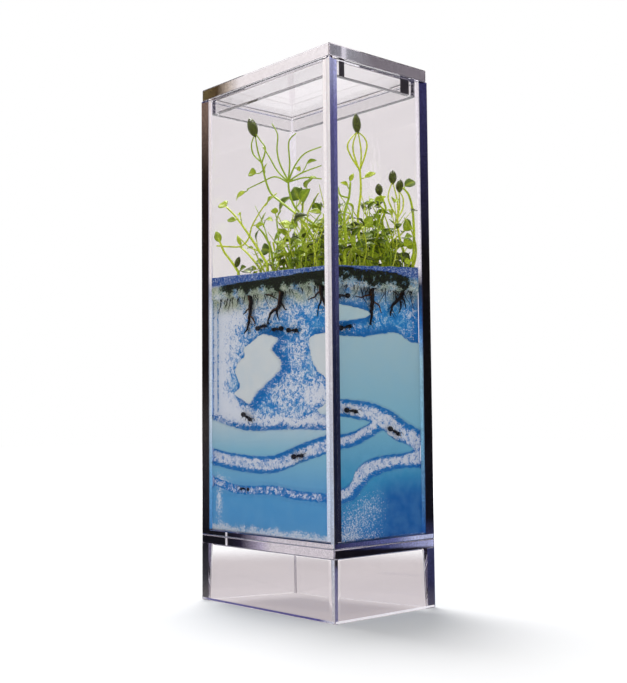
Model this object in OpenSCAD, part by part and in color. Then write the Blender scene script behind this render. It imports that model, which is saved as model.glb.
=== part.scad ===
// Gel ant habitat: a clear tower on a hollow stand, with a loose lid, a block of gel that ants have
// dug into behind the panes, and sprouts that grow from a seed mat on the gel.
// Millimetres. +Z is up, -Y is the wide front pane, and the origin is the centre of the foot.

/* [Tank] */
// Width of the tank outside
tank_w = 96; // [84:1:120]
// Depth of the tank outside
tank_d = 64; // [54:1:90]
// Height of the tank from its seat on the stand to its rim
tank_h = 216.5; // [200:0.5:260]
// Thickness of the four panes
tank_wall = 4; // [3:0.5:5]
// Thickness of the tank's floor
tank_floor = 2.5; // [2:0.1:4]
// Radius of the upright corners inside
inner_r = 3; // [2:0.5:5]
// Radius of the upright corners outside
outer_r = 0.8; // [0.4:0.1:2]

/* [Stand] */
// Height of the stand
stand_h = 31.5; // [24:0.5:45]
// Thickness of the stand's top plate
stand_top = 4.2; // [3:0.1:6]
// Thickness of the skirt at the foot
skirt_foot = 3.6; // [2.5:0.1:4.5]
// Thickness of the skirt under the top plate
skirt_head = 4.8; // [4:0.1:6]
// Height of the locating plinth on the top plate
plinth_h = 0.6; // [0.4:0.1:1]
// Distance of the plinth from the outline
plinth_inset = 6; // [5:0.5:12]
// Gap around and above the plinth in the tank's underside
plinth_gap = 0.3; // [0.2:0.05:0.6]

/* [Lid] */
// Thickness of the lid's plate
lid_t = 6; // [4:0.5:9]
// How far the plate stays inside the tank's outline
lid_inset = 0.4; // [0.2:0.1:1]
// Depth of the rim that drops into the tank
plug_h = 7.3; // [5:0.1:12]
// Thickness of that rim
plug_t = 3; // [2:0.1:4]
// Gap between the rim and the panes
plug_gap = 0.5; // [0.3:0.1:1]

/* [Gel] */
// Height of the gel block
gel_h = 116; // [105:1:125]
// Gap between the gel and the panes
gel_gap = 0.1; // [0.05:0.05:0.3]
// Height of the lip where the gel climbs the panes
lip_h = 6; // [4:0.5:8]
// Thickness of that lip
lip_t = 1.2; // [0.8:0.1:1.6]
// How deep the ants have dug behind the panes
dig_depth = 4; // [3.4:0.1:4]
// Unbroken gel between the surface and the diggings
crust_h = 3; // [2:0.5:5]

/* [Planting] */
// Thickness of the seed mat
mat_t = 3.5; // [2:0.5:5]
// Gap between the mat and the gel's lip
mat_gap = 0.3; // [0.2:0.1:0.6]
// Width of bare gel at the left of the mat
mat_bare = 7; // [3:1:14]
// Corner radius of the mat
mat_r = 2.5; // [1:0.5:4]
// Gap between a sprout's foot and the mat
stem_gap = 0.1; // [0.05:0.05:0.3]
// Radius of a sprout's stem at its foot
stem_r = 0.65; // [0.5:0.05:0.8]
// Radius of a leaf stalk
stalk_r = 0.35; // [0.3:0.05:0.5]
// Thickness of a leaf
leaf_t = 0.5; // [0.4:0.1:0.8]
// Radius of a root where it leaves the mat
root_r = 1.2; // [0.9:0.1:1.3]
// Gap around a root in the gel's crust
root_gap = 0.3; // [0.2:0.1:0.5]

/* [Ants] */
// Length of an ant's body
ant_l = 8.2; // [6:0.2:9]
// Thickness of an ant's leg
ant_leg = 0.36; // [0.3:0.02:0.5]
// Gap between an ant's feet and the gel behind it
ant_gap = 0.25; // [0.15:0.05:0.5]

/* [Hidden] */
$fn = 48;
join = 0.01; // overlap that keeps stacked solids of one piece together
cut = 1; // how far a cutting solid runs past what it cuts

// Levels
tank_z = stand_h;
gel_z = tank_z + tank_floor;
gel_top = gel_z + gel_h;
mat_top = gel_top + mat_t;
rim_z = tank_z + tank_h;
plug_z = rim_z - plug_h;

// Plans
in_w = tank_w - 2 * tank_wall;
in_d = tank_d - 2 * tank_wall;
gel_w = in_w - 2 * gel_gap;
gel_d = in_d - 2 * gel_gap;
gel_r = inner_r - gel_gap;
plug_w = in_w - 2 * plug_gap;
plug_d = in_d - 2 * plug_gap;
plug_r = inner_r;

// The diggings, roots, ants and sprouts are drawn at this inside size, and follow the tank and
// the gel when those change. A point [u, z] is u to the right of a pane's middle, seen from outside,
// and z above the foot.
drawn_w = 88;
drawn_d = 56;
drawn_floor = 34;
drawn_gel = 116;
drawn_mat = 153.5;
drawn_room = 94.5;
drawn_at = [398, -355, 88]; // where the tower is seen from when its sprouts are drawn

FRONT = 0;
RIGHT = 1;
BACK = 2;
LEFT = 3;

room = rim_z - mat_top;
function drawn_half(pane) = (pane % 2 == 0 ? drawn_w : drawn_d) / 2;
function pane_half(pane) = (pane % 2 == 0 ? in_w : in_d) / 2;
function gel_reach(pane) = (pane % 2 == 0 ? gel_d : gel_w) / 2;
function across(pane, u) = u * pane_half(pane) / drawn_half(pane);
function in_gel(z) = gel_z + (z - drawn_floor) * gel_h / drawn_gel;
function on_gel(pane, p) = [across(pane, p[0]), in_gel(p[1])];
function turned(pane, u, out) =
    [u * cos(90 * pane) + out * sin(90 * pane), u * sin(90 * pane) - out * cos(90 * pane)];

// Smooth curve through a list of points, in steps pieces a span
function knot(p, i) = p[max(0, min(len(p) - 1, i))];
function blend(a, b, c, d, t) =
    b + t * (c - a) / 2 + t * t * (a - 2.5 * b + 2 * c - d / 2) + t * t * t * (1.5 * (b - c) + (d - a) / 2);
function curve(p, steps) = concat(
    [for (i = [0 : len(p) - 2], s = [0 : steps - 1])
        blend(knot(p, i - 1), p[i], p[i + 1], knot(p, i + 2), s / steps)],
    [p[len(p) - 1]]);
function ring_curve(p, steps) =
    let (n = len(p))
    [for (i = [0 : n - 1], s = [0 : steps - 1])
        blend(p[(i + n - 1) % n], p[i], p[(i + 1) % n], p[(i + 2) % n], s / steps)];

// Outline of a tunnel: a band of one width along a line
function heading(p, i) = let (d = knot(p, i + 1) - knot(p, i - 1)) d / norm(d);
function band_side(p, half) =
    [for (i = [0 : len(p) - 1]) p[i] + half * [-heading(p, i)[1], heading(p, i)[0]]];
function reversed(p) = [for (i = [len(p) - 1 : -1 : 0]) p[i]];
function band(p, width) =
    let (q = curve(p, 3)) concat(band_side(q, width / 2), reversed(band_side(q, -width / 2)));
function between(upper, lower) = concat(curve(upper, 3), reversed(curve(lower, 3)));

// Diggings. The big gallery reaches from under the crust down to gallery_floor on each pane, less its
// islands. Lines that leave a pane go 2 mm past its edge, and go on at the same height round the corner.
gallery_floor = [
    [[-46, 89], [-30, 85], [-15, 82.5], [0, 82.5], [20, 83], [46, 82.5]],
    [[-30, 124.8], [-13, 124], [0.5, 126], [11, 126.9], [20.5, 123], [30, 123]],
    [[-46, 123], [-20, 114], [0, 108], [20, 112], [46, 116]],
    [[-30, 116], [-8, 107], [10, 95], [30, 89]],
];
islands = [
    [FRONT, [[-9, 125], [-2, 127.5], [9, 124.5], [4, 120.5], [9.5, 115], [10, 110.5], [-0.5, 104],
        [-7.5, 100], [-12.5, 95], [-18, 97], [-24.5, 100], [-20, 103], [-21.5, 107], [-23.5, 110.5],
        [-21, 115], [-16, 118], [-16.5, 121.5]]],
    [FRONT, [[31, 124], [32, 115], [34, 110.5], [41, 105.5], [47, 104], [47, 114], [47, 124.5]]],
    [RIGHT, [[-31, 138], [-10, 136.5], [-6, 134.4], [-13, 132.2], [-31, 130.2]]],
    [BACK, [[-20, 137], [-5, 140], [12, 137], [20, 128], [8, 122], [-8, 121], [-20, 126]]],
    [LEFT, [[-12, 139], [2, 141], [14, 136], [10, 125], [-4, 122], [-14, 128]]],
];
tunnels = [
    [FRONT, [[-46, 70.5], [-30, 68], [-10, 66.5], [5, 67], [15, 69.5], [25, 72.5], [35, 75], [46, 77.5]], 8],
    [FRONT, [[-46, 58.5], [-35, 56.5], [-25, 54.5], [-10, 54.5], [5, 55], [20, 53.5], [46, 53]], 6.6],
    [RIGHT, [[-30, 77], [-17, 78.7], [-9, 81.5], [0, 85.5]], 6.4],
    [BACK, [[-46, 71], [-25, 71], [-8, 76], [10, 84], [30, 88], [46, 86]], 7.5],
    [BACK, [[-24, 70], [-6, 60], [10, 52], [28, 46], [46, 44]], 6.6],
    [LEFT, [[-30, 86], [-15, 84], [0, 80], [15, 74], [30, 70.5]], 7.5],
    [LEFT, [[-30, 44], [-12, 44], [0, 47], [14, 54], [30, 58.5]], 6.6],
];
wide_tunnels = [
    [RIGHT, [[-30, 96.5], [-14.5, 95.6], [-3.3, 94], [8, 90.3], [18, 85], [30, 80.5]],
        [[-30, 89.4], [-15.8, 87.5], [-7, 86], [-0.8, 83.5], [9.3, 77.5], [19.3, 74.4], [30, 66]]],
    [RIGHT, [[-30, 56.5], [-20, 58.8], [-15.8, 65], [-9.5, 68.8], [-0.8, 70.6], [9.3, 71.3], [20, 72.5],
            [30, 76]],
        [[-30, 50], [-18, 52], [-13.3, 55.6], [-7, 60.6], [3, 63.5], [15.5, 64.8], [30, 64.4]]],
];

// Roots: the line of each taproot and of its branches down the pane, with the radius as a share of root_r
roots = [
    [FRONT, [[-13.5, 149], [-13.5, 143], [-13.8, 138], [-15, 133.5], [-18, 129]],
        [[[-13.8, 141], [-17, 139.5], [-19, 138]], [[-13.7, 137], [-11, 135], [-10.5, 132]]]],
    [FRONT, [[9, 149], [9, 144.5], [7.5, 140], [3.5, 138], [0.8, 136], [0, 132]],
        [[[8.8, 142], [11, 139], [13, 138]], [[6.5, 139.5], [6.5, 136], [8, 133.5]]]],
    [FRONT, [[37, 149], [37, 144], [38, 140.5], [40, 137]],
        [[[37.2, 142], [35.5, 138], [34, 133]], [[37, 145], [32, 142], [28, 141.5]]]],
    [RIGHT, [[-3, 149], [-3, 143], [-3.3, 138], [-3.5, 133.5], [-4.5, 130]],
        [[[-3, 144], [-9, 142.5], [-14, 142]], [[-3, 141], [1, 139], [3, 135.5]]]],
    [RIGHT, [[16.5, 149], [16.5, 145], [13, 142], [10, 139], [8.5, 135]],
        [[[16.2, 144.5], [18, 142], [19, 138.5]], [[15, 143.5], [15.5, 139], [14, 136]]]],
];

// Ants: pane, place, tilt, and 1 or -1 for a head to the right or left
ants = [
    [FRONT, [-5.5, 131], 10, 1],
    [FRONT, [6.5, 129.3], 0, -1],
    [FRONT, [17, 128], -4, 1],
    [FRONT, [-17, 88.8], -24, 1],
    [FRONT, [20, 70.8], 6, 1],
    [FRONT, [-17.8, 54.6], -2, -1],
    [RIGHT, [-21, 142], 4, -1],
    [RIGHT, [-20, 128], 10, 1],
    [RIGHT, [-17, 91], -5, 1],
    [RIGHT, [10, 81.6], -24, 1],
];

// Sprouts. Each is drawn as it shows on a pane, and stands set_back behind that pane's inside face.
// First come its stems, from the lowest point up, and the first one stands on the mat. Then come its
// leaves, as [where the stalk starts, where the blade starts, its tip, its width], and its seed heads,
// as [stem end, tip, width].
sprouts = [
    // lantern_sprout_1
    [FRONT, 17,
        [[[37, 163], [33, 170], [25, 179], [12, 188], [5, 193], [1, 200], [-2, 210]],
         [[-2.4, 209.4], [-8, 214], [-9.5, 219], [-7.2, 223.2]],
         [[-2.1, 208.7], [-5, 216], [-6.6, 222.8]],
         [[-1.6, 209.2], [1, 215], [-3, 220], [-6, 223.4]]],
        [[[-1, 205], [-6, 204.5], [-12, 205.5], 4.5], [[0, 203], [0.5, 204], [2, 208], 2.6],
         [[25, 179], [27, 183], [30, 188], 4], [[33, 170], [30, 171], [24, 172], 5]],
        [[[-6.3, 222], [-10.5, 231.5], 6.6]]],
    // spider_sprout
    [FRONT, 14,
        [[[41, 165], [38, 172], [31, 177], [22, 184], [18, 192], [17.5, 197]],
         [[17.2, 197.3], [11.5, 206], [9.5, 213], [10, 220], [6, 226]],
         [[17, 196.8], [9.4, 203.2], [4, 210.4], [-1, 216.5]],
         [[17.6, 197.6], [18.5, 205], [18, 215], [23, 218]],
         [[17.9, 197.2], [22, 203], [29, 207.5], [40, 208.5]],
         [[18.1, 196.8], [27, 199], [40, 200]],
         [[17.8, 196.4], [29, 196.5], [40, 194]],
         [[17.1, 196.2], [8, 200.5], [-2, 199.5], [-13, 198]]],
        [[[-12, 198], [-14, 197], [-22.5, 194], 3.2], [[21.5, 202.2], [24.5, 202.4], [25.8, 199.9], 2.2],
         [[27, 199], [30, 202.5], [37, 203], 2.6], [[22, 184], [26, 186], [32, 191], 6]],
        []],
    // runner_sprout
    [FRONT, 3,
        [[[-20, 158.5], [-24, 163], [-31, 169.5], [-34, 174], [-36, 177]],
         [[-37, 173.5], [-28, 172], [-18, 171], [-12, 174], [-9, 180], [0, 188], [9, 192.5]]],
        [[[-35, 175.5], [-34.5, 175], [-38, 181], 3.6], [[-9, 180], [-6, 180], [-1, 179], 3],
         [[0, 188], [2, 188.5], [7, 191.5], 3.4], [[-20.6, 159.2], [-18.8, 159.2], [-14.4, 160.8], 3.6]],
        [[[-22, 161], [-19.5, 165.5], 3.6]]],
    // left_sprout
    [FRONT, 5.6,
        [[[2, 160], [-4, 167], [-13, 177], [-22, 186], [-29, 191.5]],
         [[-4, 167], [-12, 170], [-20, 176]]],
        [[[-29, 191.5], [-29.5, 192], [-35, 194.5], 5.4], [[-21, 185], [-22, 184], [-29, 185.5], 3.2],
         [[-17, 181], [-18, 186], [-20, 187.5], 1.8], [[-5, 168.1], [-6, 172], [-4, 177.5], 2.8]],
        []],
    // dark_leaf_sprout
    [FRONT, 22,
        [[[6, 160], [4, 168], [-1, 175], [-6, 179]],
         [[6, 160], [10, 170], [9, 180], [12, 184]]],
        [[[-5, 178.5], [-3, 179.5], [1, 185], 5.5], [[-1, 178], [0, 181], [6, 180], 4],
         [[10, 183], [11, 183.5], [19, 189.5], 6], [[9, 181], [8, 183], [8, 186], 4]],
        []],
    // broadleaf_sprout
    [FRONT, 26,
        [[[30, 160], [27, 170], [27, 182], [29, 190]],
         [[27, 175], [33, 183], [38, 188]]],
        [[[27, 184], [25, 187], [21, 193.5], 8], [[28.6, 189.4], [30, 191.5], [36, 196], 7.6],
         [[38, 188], [38, 188], [34, 183], 6], [[27, 172], [24, 175], [18, 177], 5],
         [[33, 183], [35, 184], [39, 179], 4.5]],
        []],
    // low_sprout_1
    [FRONT, 30,
        [[[10, 158], [8, 164], [6, 170]], [[8, 164], [13, 170], [19, 174]]],
        [[[8, 163], [4, 166], [-3, 168], 6], [[6, 168.5], [7, 170], [13.5, 174.5], 4],
         [[19, 174], [18.6, 175], [12, 178.5], 3.4], [[12, 168], [14, 168], [20, 169], 4]],
        []],
    // low_sprout_2
    [FRONT, 10,
        [[[-3, 158], [-6, 161], [-13, 167], [-19, 171]], [[-3, 158], [1, 161], [6, 163]]],
        [[[-4, 159], [-6, 158.5], [-13, 159.5], 3], [[0, 160.5], [-1, 161], [-8, 162], 3.6],
         [[5, 162.5], [6, 161], [13, 163.5], 4], [[-17, 170], [-17.5, 171], [-21, 177], 2]],
        []],
    // low_sprout_3
    [FRONT, 34,
        [[[33, 158], [35, 165], [39, 171]], [[34, 162], [29, 167], [26, 170]]],
        [[[36, 166], [37, 166], [40.5, 163], 4.5], [[39, 171], [38, 171], [34, 172.5], 3.4],
         [[26, 170], [26, 170], [22, 165], 5], [[33, 160], [36, 160], [40.5, 158.5], 3.4]],
        []],
    // lantern_sprout_2
    [RIGHT, 9,
        [[[-12, 160], [-13, 168], [-13.5, 178], [-11.5, 190], [-12, 200.5]],
         [[-12.4, 200], [-17, 204.5], [-19.5, 209], [-17.5, 213], [-13.6, 216.6]],
         [[-12.2, 199.2], [-15.5, 206], [-16, 211], [-13.3, 217.1]],
         [[-11.6, 200.2], [-8.5, 207], [-7.3, 212], [-9, 215], [-12.6, 216.8]],
         [[-11.8, 199.4], [-11, 208], [-12.9, 217.5]]],
        [[[-12, 196], [-9, 196.5], [-1.5, 200], 2.6], [[-13, 172], [-10, 174], [-4, 179], 4.5],
         [[-13.4, 178], [-16, 180], [-20, 184], 3.4], [[-13, 168], [-9, 167], [-3, 165.5], 3]],
        [[[-13.2, 216], [-14, 224.2], 5.2]]],
    // corner_sprout
    [RIGHT, 4,
        [[[-22, 160], [-21, 168], [-22, 178], [-19, 186], [-18, 193]],
         [[-19, 186], [-24, 186.5], [-25.5, 190]]],
        [[[-18.6, 189.6], [-19.2, 190.8], [-24, 192.3], 2.8], [[-18, 193], [-18.3, 193.5], [-16, 197.5], 2],
         [[-21.5, 171.5], [-23.6, 173.5], [-26, 178.5], 2.4], [[-21, 166], [-19, 166], [-15, 169.5], 3.2]],
        []],
    // round_head_sprout
    [RIGHT, 16,
        [[[5, 160], [4, 170], [2, 178], [4.5, 184], [1, 190]],
         [[4, 183], [-3, 186], [-8, 185]]],
        [[[3, 175], [0, 177], [-4, 180.5], 4], [[4, 170], [1, 169.5], [-5, 172], 4.5],
         [[4.2, 183], [6, 184], [8.5, 180], 3], [[-3, 186], [-3, 186], [-7, 183.5], 2.6]],
        [[[0.6, 189.5], [-0.2, 194.5], 4.8]]],
    // twin_head_sprout
    [RIGHT, 6,
        [[[17, 163], [14, 169], [12.3, 175], [12, 181]],
         [[11.8, 181.2], [8, 185], [6, 190], [8.6, 196.5]],
         [[12.3, 181.3], [12.2, 188], [9.4, 196.5]],
         [[12.2, 180.6], [15.5, 185], [16, 190], [13.8, 193]],
         [[11.7, 180.4], [13.5, 186], [13.3, 193]]],
        [[[13, 172], [16, 175], [19, 181], 6], [[16, 165], [18, 167], [21, 171], 5],
         [[12.2, 177], [10, 177], [6.5, 179.5], 3.6], [[17, 163], [14, 162], [8, 163], 3.6]],
        [[[9, 195.8], [9.3, 202], 5], [[13.4, 192.6], [14.2, 198.4], 4.8]]],
    // tall_leaf_sprout
    [RIGHT, 2.6,
        [[[22, 160], [23, 170], [22.5, 184], [20, 192], [16, 195]]],
        [[[16.5, 194.8], [17, 196], [24.6, 199.5], 4.4], [[22.7, 176], [21, 177.6], [18.6, 181], 2.4],
         [[23, 168.5], [20.4, 170.8], [16.4, 167.4], 4.6], [[22.2, 161], [20, 161.5], [16, 159.5], 3.2]],
        []],
];

// A point of a pane, moved back along the line of sight until it is set_back behind the pane
function on_pane(pane, p) =
    let (q = turned(pane, p[0], drawn_half(pane + 1))) [q[0], q[1], p[1]];
function inward(pane) = [-sin(90 * pane), cos(90 * pane), 0];
function stand_back(pane, set_back, p) =
    let (q = on_pane(pane, p), way = q - drawn_at)
    q + way * set_back / (way * inward(pane));
function in_tank(q) =
    [q[0] * in_w / drawn_w, q[1] * in_d / drawn_d, mat_top + (q[2] - drawn_mat) * room / drawn_room];
function sprout_point(pane, set_back, p) = in_tank(stand_back(pane, set_back, p));

// Rectangle with round corners
module rounded(w, d, r) {
    square([w - 2 * r, d], center = true);
    square([w, d - 2 * r], center = true);
    for (x = [-1, 1], y = [-1, 1])
        translate([x * (w / 2 - r), y * (d / 2 - r)]) circle(r);
}

// Round tube along 3D points that lie in one upright plane with the given normal
module strand(p, normal, r_from, r_to, sides = 6) {
    n = len(p);
    rings = [for (i = [0 : n - 1])
        let (along = heading(p, i), side = cross(along, normal), r = r_from + (r_to - r_from) * i / (n - 1))
        for (k = [0 : sides - 1]) p[i] + r * (cos(360 * k / sides) * side + sin(360 * k / sides) * normal)];
    walls = [for (i = [0 : n - 2], k = [0 : sides - 1])
        let (a = i * sides + k, b = i * sides + (k + 1) % sides)
        each [[a, b, b + sides], [a, b + sides, a + sides]]];
    polyhedron(rings, concat(
        [reversed([for (k = [0 : sides - 1]) k])],
        walls,
        [[for (k = [0 : sides - 1]) (n - 1) * sides + k]]));
}

// Straight round rod between two points
module rod(a, b, r) {
    d = b - a;
    translate(a)
        rotate([0, acos(d[2] / norm(d)), atan2(d[1], d[0])])
            cylinder(h = norm(d), r = r);
}

module stand() {
    color([0.86, 0.86, 0.9, 0.5]) {
        difference() {
            linear_extrude(stand_h) rounded(tank_w, tank_d, outer_r);
            intersection() {
                skirt_room(tank_w, tank_d);
                rotate(90) skirt_room(tank_d, tank_w);
            }
        }
        translate([0, 0, stand_h - join])
            linear_extrude(plinth_h + join)
                rounded(tank_w - 2 * plinth_inset, tank_d - 2 * plinth_inset, inner_r);
    }
}

// Space under the top plate whose two ends lean in towards the top
module skirt_room(w, d) {
    foot = w / 2 - skirt_foot;
    head = w / 2 - skirt_head;
    z = stand_h - stand_top;
    lean = (foot - head) / z;
    rotate([90, 0, 0])
        linear_extrude(d - skirt_foot, center = true)
            polygon([[-foot - lean * cut, -cut], [foot + lean * cut, -cut], [head, z], [-head, z]]);
}

module tank_shell() {
    recess_inset = plinth_inset - plinth_gap;
    color([0.86, 0.86, 0.9, 0.4])
        translate([0, 0, tank_z])
            difference() {
                linear_extrude(tank_h) rounded(tank_w, tank_d, outer_r);
                translate([0, 0, tank_floor])
                    linear_extrude(tank_h) rounded(in_w, in_d, inner_r);
                translate([0, 0, -cut])
                    linear_extrude(plinth_h + plinth_gap + cut)
                        rounded(tank_w - 2 * recess_inset, tank_d - 2 * recess_inset, inner_r + plinth_gap);
            }
}

module lid() {
    color([0.86, 0.86, 0.9, 0.4]) {
        translate([0, 0, rim_z])
            linear_extrude(lid_t) rounded(tank_w - 2 * lid_inset, tank_d - 2 * lid_inset, outer_r);
        translate([0, 0, plug_z])
            linear_extrude(plug_h + join)
                difference() {
                    rounded(plug_w, plug_d, plug_r);
                    rounded(plug_w - 2 * plug_t, plug_d - 2 * plug_t, plug_r);
                }
    }
}

// Puts a drawing of a pane, [u, z], to the given depth in the gel behind that pane
module dig(pane) {
    rotate([90, 0, 90 * pane])
        translate([0, 0, gel_reach(pane) - dig_depth])
            linear_extrude(dig_depth + cut) children();
}

module outline(pane, points) {
    polygon([for (p = points) on_gel(pane, p)]);
}

module gallery(pane) {
    lower = gallery_floor[pane];
    edge = across(pane, lower[len(lower) - 1][0]);
    top = gel_top - crust_h;
    difference() {
        dig(pane)
            polygon(concat(
                [[-edge, top], [edge, top]],
                [for (p = reversed(curve(lower, 3))) on_gel(pane, p)]));
        for (island = islands)
            if (island[0] == pane)
                dig(pane) outline(pane, ring_curve(island[1], 3));
    }
}

module gel_block() {
    color([0.45, 0.72, 0.82])
        difference() {
            union() {
                translate([0, 0, gel_z]) linear_extrude(gel_h) rounded(gel_w, gel_d, gel_r);
                translate([0, 0, gel_top - join])
                    linear_extrude(lip_h + join)
                        difference() {
                            rounded(gel_w, gel_d, gel_r);
                            rounded(gel_w - 2 * lip_t, gel_d - 2 * lip_t, gel_r - lip_t);
                        }
            }
            for (pane = [FRONT : LEFT])
                gallery(pane);
            for (t = tunnels)
                dig(t[0]) outline(t[0], band(t[1], t[2]));
            for (t = wide_tunnels)
                dig(t[0]) outline(t[0], between(t[1], t[2]));
            for (root = roots)
                translate(root_top(root) - [0, 0, crust_h + cut])
                    cylinder(h = crust_h + cut, r = root_r + root_gap);
        }
}

module root_mat() {
    reach = lip_t + mat_gap;
    w = gel_w - 2 * reach - mat_bare;
    color([0.1, 0.15, 0.08])
        translate([mat_bare / 2, 0, gel_top])
            linear_extrude(mat_t) rounded(w, gel_d - 2 * reach, mat_r);
}

function root_point(pane, p) =
    let (q = turned(pane, across(pane, p[0]), gel_reach(pane) - dig_depth / 2)) [q[0], q[1], in_gel(p[1])];
function root_top(root) = let (q = root_point(root[0], root[1][0])) [q[0], q[1], gel_top];

module root(i) {
    pane = roots[i][0];
    line = [for (p = curve(roots[i][1], 3)) root_point(pane, p)];
    color([0.25, 0.12, 0.05]) {
        strand(concat([root_top(roots[i])], line), inward(pane), root_r, root_r * 0.4, 8);
        for (branch = roots[i][2])
            strand([for (p = curve(branch, 3)) root_point(pane, p)], inward(pane),
                root_r * 0.5, root_r * 0.25);
    }
}

// Half outline of an ant's body, [along, radius], as shares of its length, from the tail's tip
ant_half = [[0, 0], [0.05, 0.07], [0.14, 0.125], [0.25, 0.14], [0.34, 0.115], [0.4, 0.05], [0.43, 0.03],
    [0.47, 0.045], [0.52, 0.075], [0.6, 0.09], [0.68, 0.075], [0.72, 0.04], [0.75, 0.06], [0.82, 0.11],
    [0.9, 0.105], [0.97, 0.06], [1, 0]];

// An ant with its length along X, its head at +X and its back at +Z
module ant_body() {
    chest = 0.1 * ant_l;
    reach = dig_depth / 2 - ant_gap - ant_leg / 2;
    knee_z = 0.06 * ant_l;
    foot_z = -0.16 * ant_l;
    translate([-ant_l / 2, 0, 0])
        rotate([0, 90, 0])
            rotate_extrude($fn = 24)
                polygon([for (p = ant_half) [p[1] * ant_l, p[0] * ant_l]]);
    for (side = [-1, 1], leg = [-1, 0, 1]) {
        hip = [chest + leg * 0.06 * ant_l, side * 0.02 * ant_l, 0];
        knee = [chest + (leg * 0.18 - 0.03) * ant_l, side * reach * 0.6, knee_z];
        foot = [chest + (leg * 0.28 - 0.06) * ant_l, side * reach, foot_z];
        rod(hip, knee, ant_leg / 2);
        rod(knee + 0.12 * (hip - knee), foot, ant_leg / 2.4);
    }
    for (side = [-1, 1])
        rod([0.42, side * 0.03, 0.04] * ant_l, [0.6 * ant_l, side * reach * 0.5, 0.14 * ant_l],
            ant_leg / 2.4);
}

module ant(i) {
    pane = ants[i][0];
    place = root_point(pane, ants[i][1]);
    color([0.05, 0.04, 0.04])
        translate(place)
            rotate([0, 0, 90 * pane])
                rotate([0, -ants[i][2], 0])
                    rotate([0, 0, ants[i][3] > 0 ? 0 : 180])
                        ant_body();
}

// Half of a leaf's blade between its stalk and tip, folded back from the midrib
module half_blade(base, tip, width, normal, side) {
    along = (tip - base) / norm(tip - base);
    out = cross(along, normal) * side;
    rib = out * leaf_t * 0.2;
    edge = base + 0.5 * (tip - base) + out * (width / 2 - leaf_t / 2) - normal * width * 0.12;
    shoulder = base + 0.25 * (tip - base) + out * width * 0.36 - normal * width * 0.08;
    hull() {
        translate(base + rib) sphere(d = leaf_t, $fn = 6);
        translate(shoulder) sphere(d = leaf_t, $fn = 6);
        translate(edge) sphere(d = leaf_t, $fn = 6);
        translate(tip + rib - along * leaf_t / 2) sphere(d = leaf_t, $fn = 6);
    }
}

module seed_head(base, tip, width) {
    middle = base + 0.55 * (tip - base);
    hull() {
        translate(base) sphere(r = stem_r, $fn = 8);
        translate(middle) sphere(d = width, $fn = 12);
        translate(tip - 0.15 * (tip - base)) sphere(d = width * 0.5, $fn = 8);
    }
}

module sprout(i) {
    pane = sprouts[i][0];
    set_back = sprouts[i][1];
    stems = sprouts[i][2];
    normal = inward(pane);
    main = [for (p = curve(stems[0], 2)) sprout_point(pane, set_back, p)];
    foot = [main[0][0], main[0][1], mat_top + stem_gap];
    color([0.45, 0.66, 0.15])
        union() {
            strand(concat([foot, foot + (main[0] - foot) / 2], main), normal, stem_r, stem_r * 0.8);
            for (s = [1 : 1 : len(stems) - 1])
                strand([for (p = curve(stems[s], 2)) sprout_point(pane, set_back, p)],
                    normal, stalk_r * 1.2, stalk_r);
            for (leaf = sprouts[i][3]) {
                stalk = sprout_point(pane, set_back, leaf[0]);
                base = sprout_point(pane, set_back, leaf[1]);
                tip = sprout_point(pane, set_back, leaf[2]);
                blade = (tip - base) / norm(tip - base);
                strand([stalk - 0.4 * stem_r * blade, base + 1.2 * leaf_t * blade],
                    normal, stalk_r * 0.9, stalk_r * 0.7);
                for (side = [-1, 1])
                    half_blade(base, tip, leaf[3], normal, side);
            }
            for (head = sprouts[i][4])
                seed_head(
                    sprout_point(pane, set_back, head[0]),
                    sprout_point(pane, set_back, head[1]),
                    head[2]);
        }
}

first_taproot = 5; // places of the repeated pieces in NODES
first_ant = 10;
first_sprout = 20;

stand();
tank_shell();
lid();
gel_block();
root_mat();
for (i = [0 : len(roots) - 1])
    root(i);
for (i = [0 : len(ants) - 1])
    ant(i);
for (i = [0 : len(sprouts) - 1])
    sprout(i);
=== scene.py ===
"""Looks of the gel ant habitat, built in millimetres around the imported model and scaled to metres."""

import math
import random

import bmesh
import bpy
import numpy as np
from mathutils import Matrix, Vector, noise


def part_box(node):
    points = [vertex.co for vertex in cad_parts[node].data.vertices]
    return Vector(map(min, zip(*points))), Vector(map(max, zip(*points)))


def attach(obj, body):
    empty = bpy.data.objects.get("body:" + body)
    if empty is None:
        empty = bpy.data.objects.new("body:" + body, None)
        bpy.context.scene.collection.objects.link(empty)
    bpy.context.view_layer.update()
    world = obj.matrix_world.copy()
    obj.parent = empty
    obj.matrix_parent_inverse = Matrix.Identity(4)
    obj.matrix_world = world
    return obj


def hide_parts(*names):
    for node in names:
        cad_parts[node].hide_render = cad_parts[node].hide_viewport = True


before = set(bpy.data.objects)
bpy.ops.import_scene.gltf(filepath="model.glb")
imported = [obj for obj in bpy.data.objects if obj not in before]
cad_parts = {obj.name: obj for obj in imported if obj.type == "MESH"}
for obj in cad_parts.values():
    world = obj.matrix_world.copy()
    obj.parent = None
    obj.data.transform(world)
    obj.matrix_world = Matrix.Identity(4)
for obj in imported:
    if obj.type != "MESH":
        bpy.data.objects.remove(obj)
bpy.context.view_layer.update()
MM = 0.001
noise.seed_set(7)  # noise_vector, which bends the roots, would else change with the clock

# ---------------------------------------------------------------- sizes, in mm, from the frame


def box_mm(node):
    low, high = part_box(node)
    return [c / MM for c in low], [c / MM for c in high]


TANK_LOW, TANK_HIGH = box_mm("tank_shell")
GEL_LOW, GEL_HIGH = box_mm("gel_block")
MAT_LOW, MAT_HIGH = box_mm("root_mat")
LID_LOW, LID_HIGH = box_mm("lid")
STAND_HIGH = box_mm("stand")[1]

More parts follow.
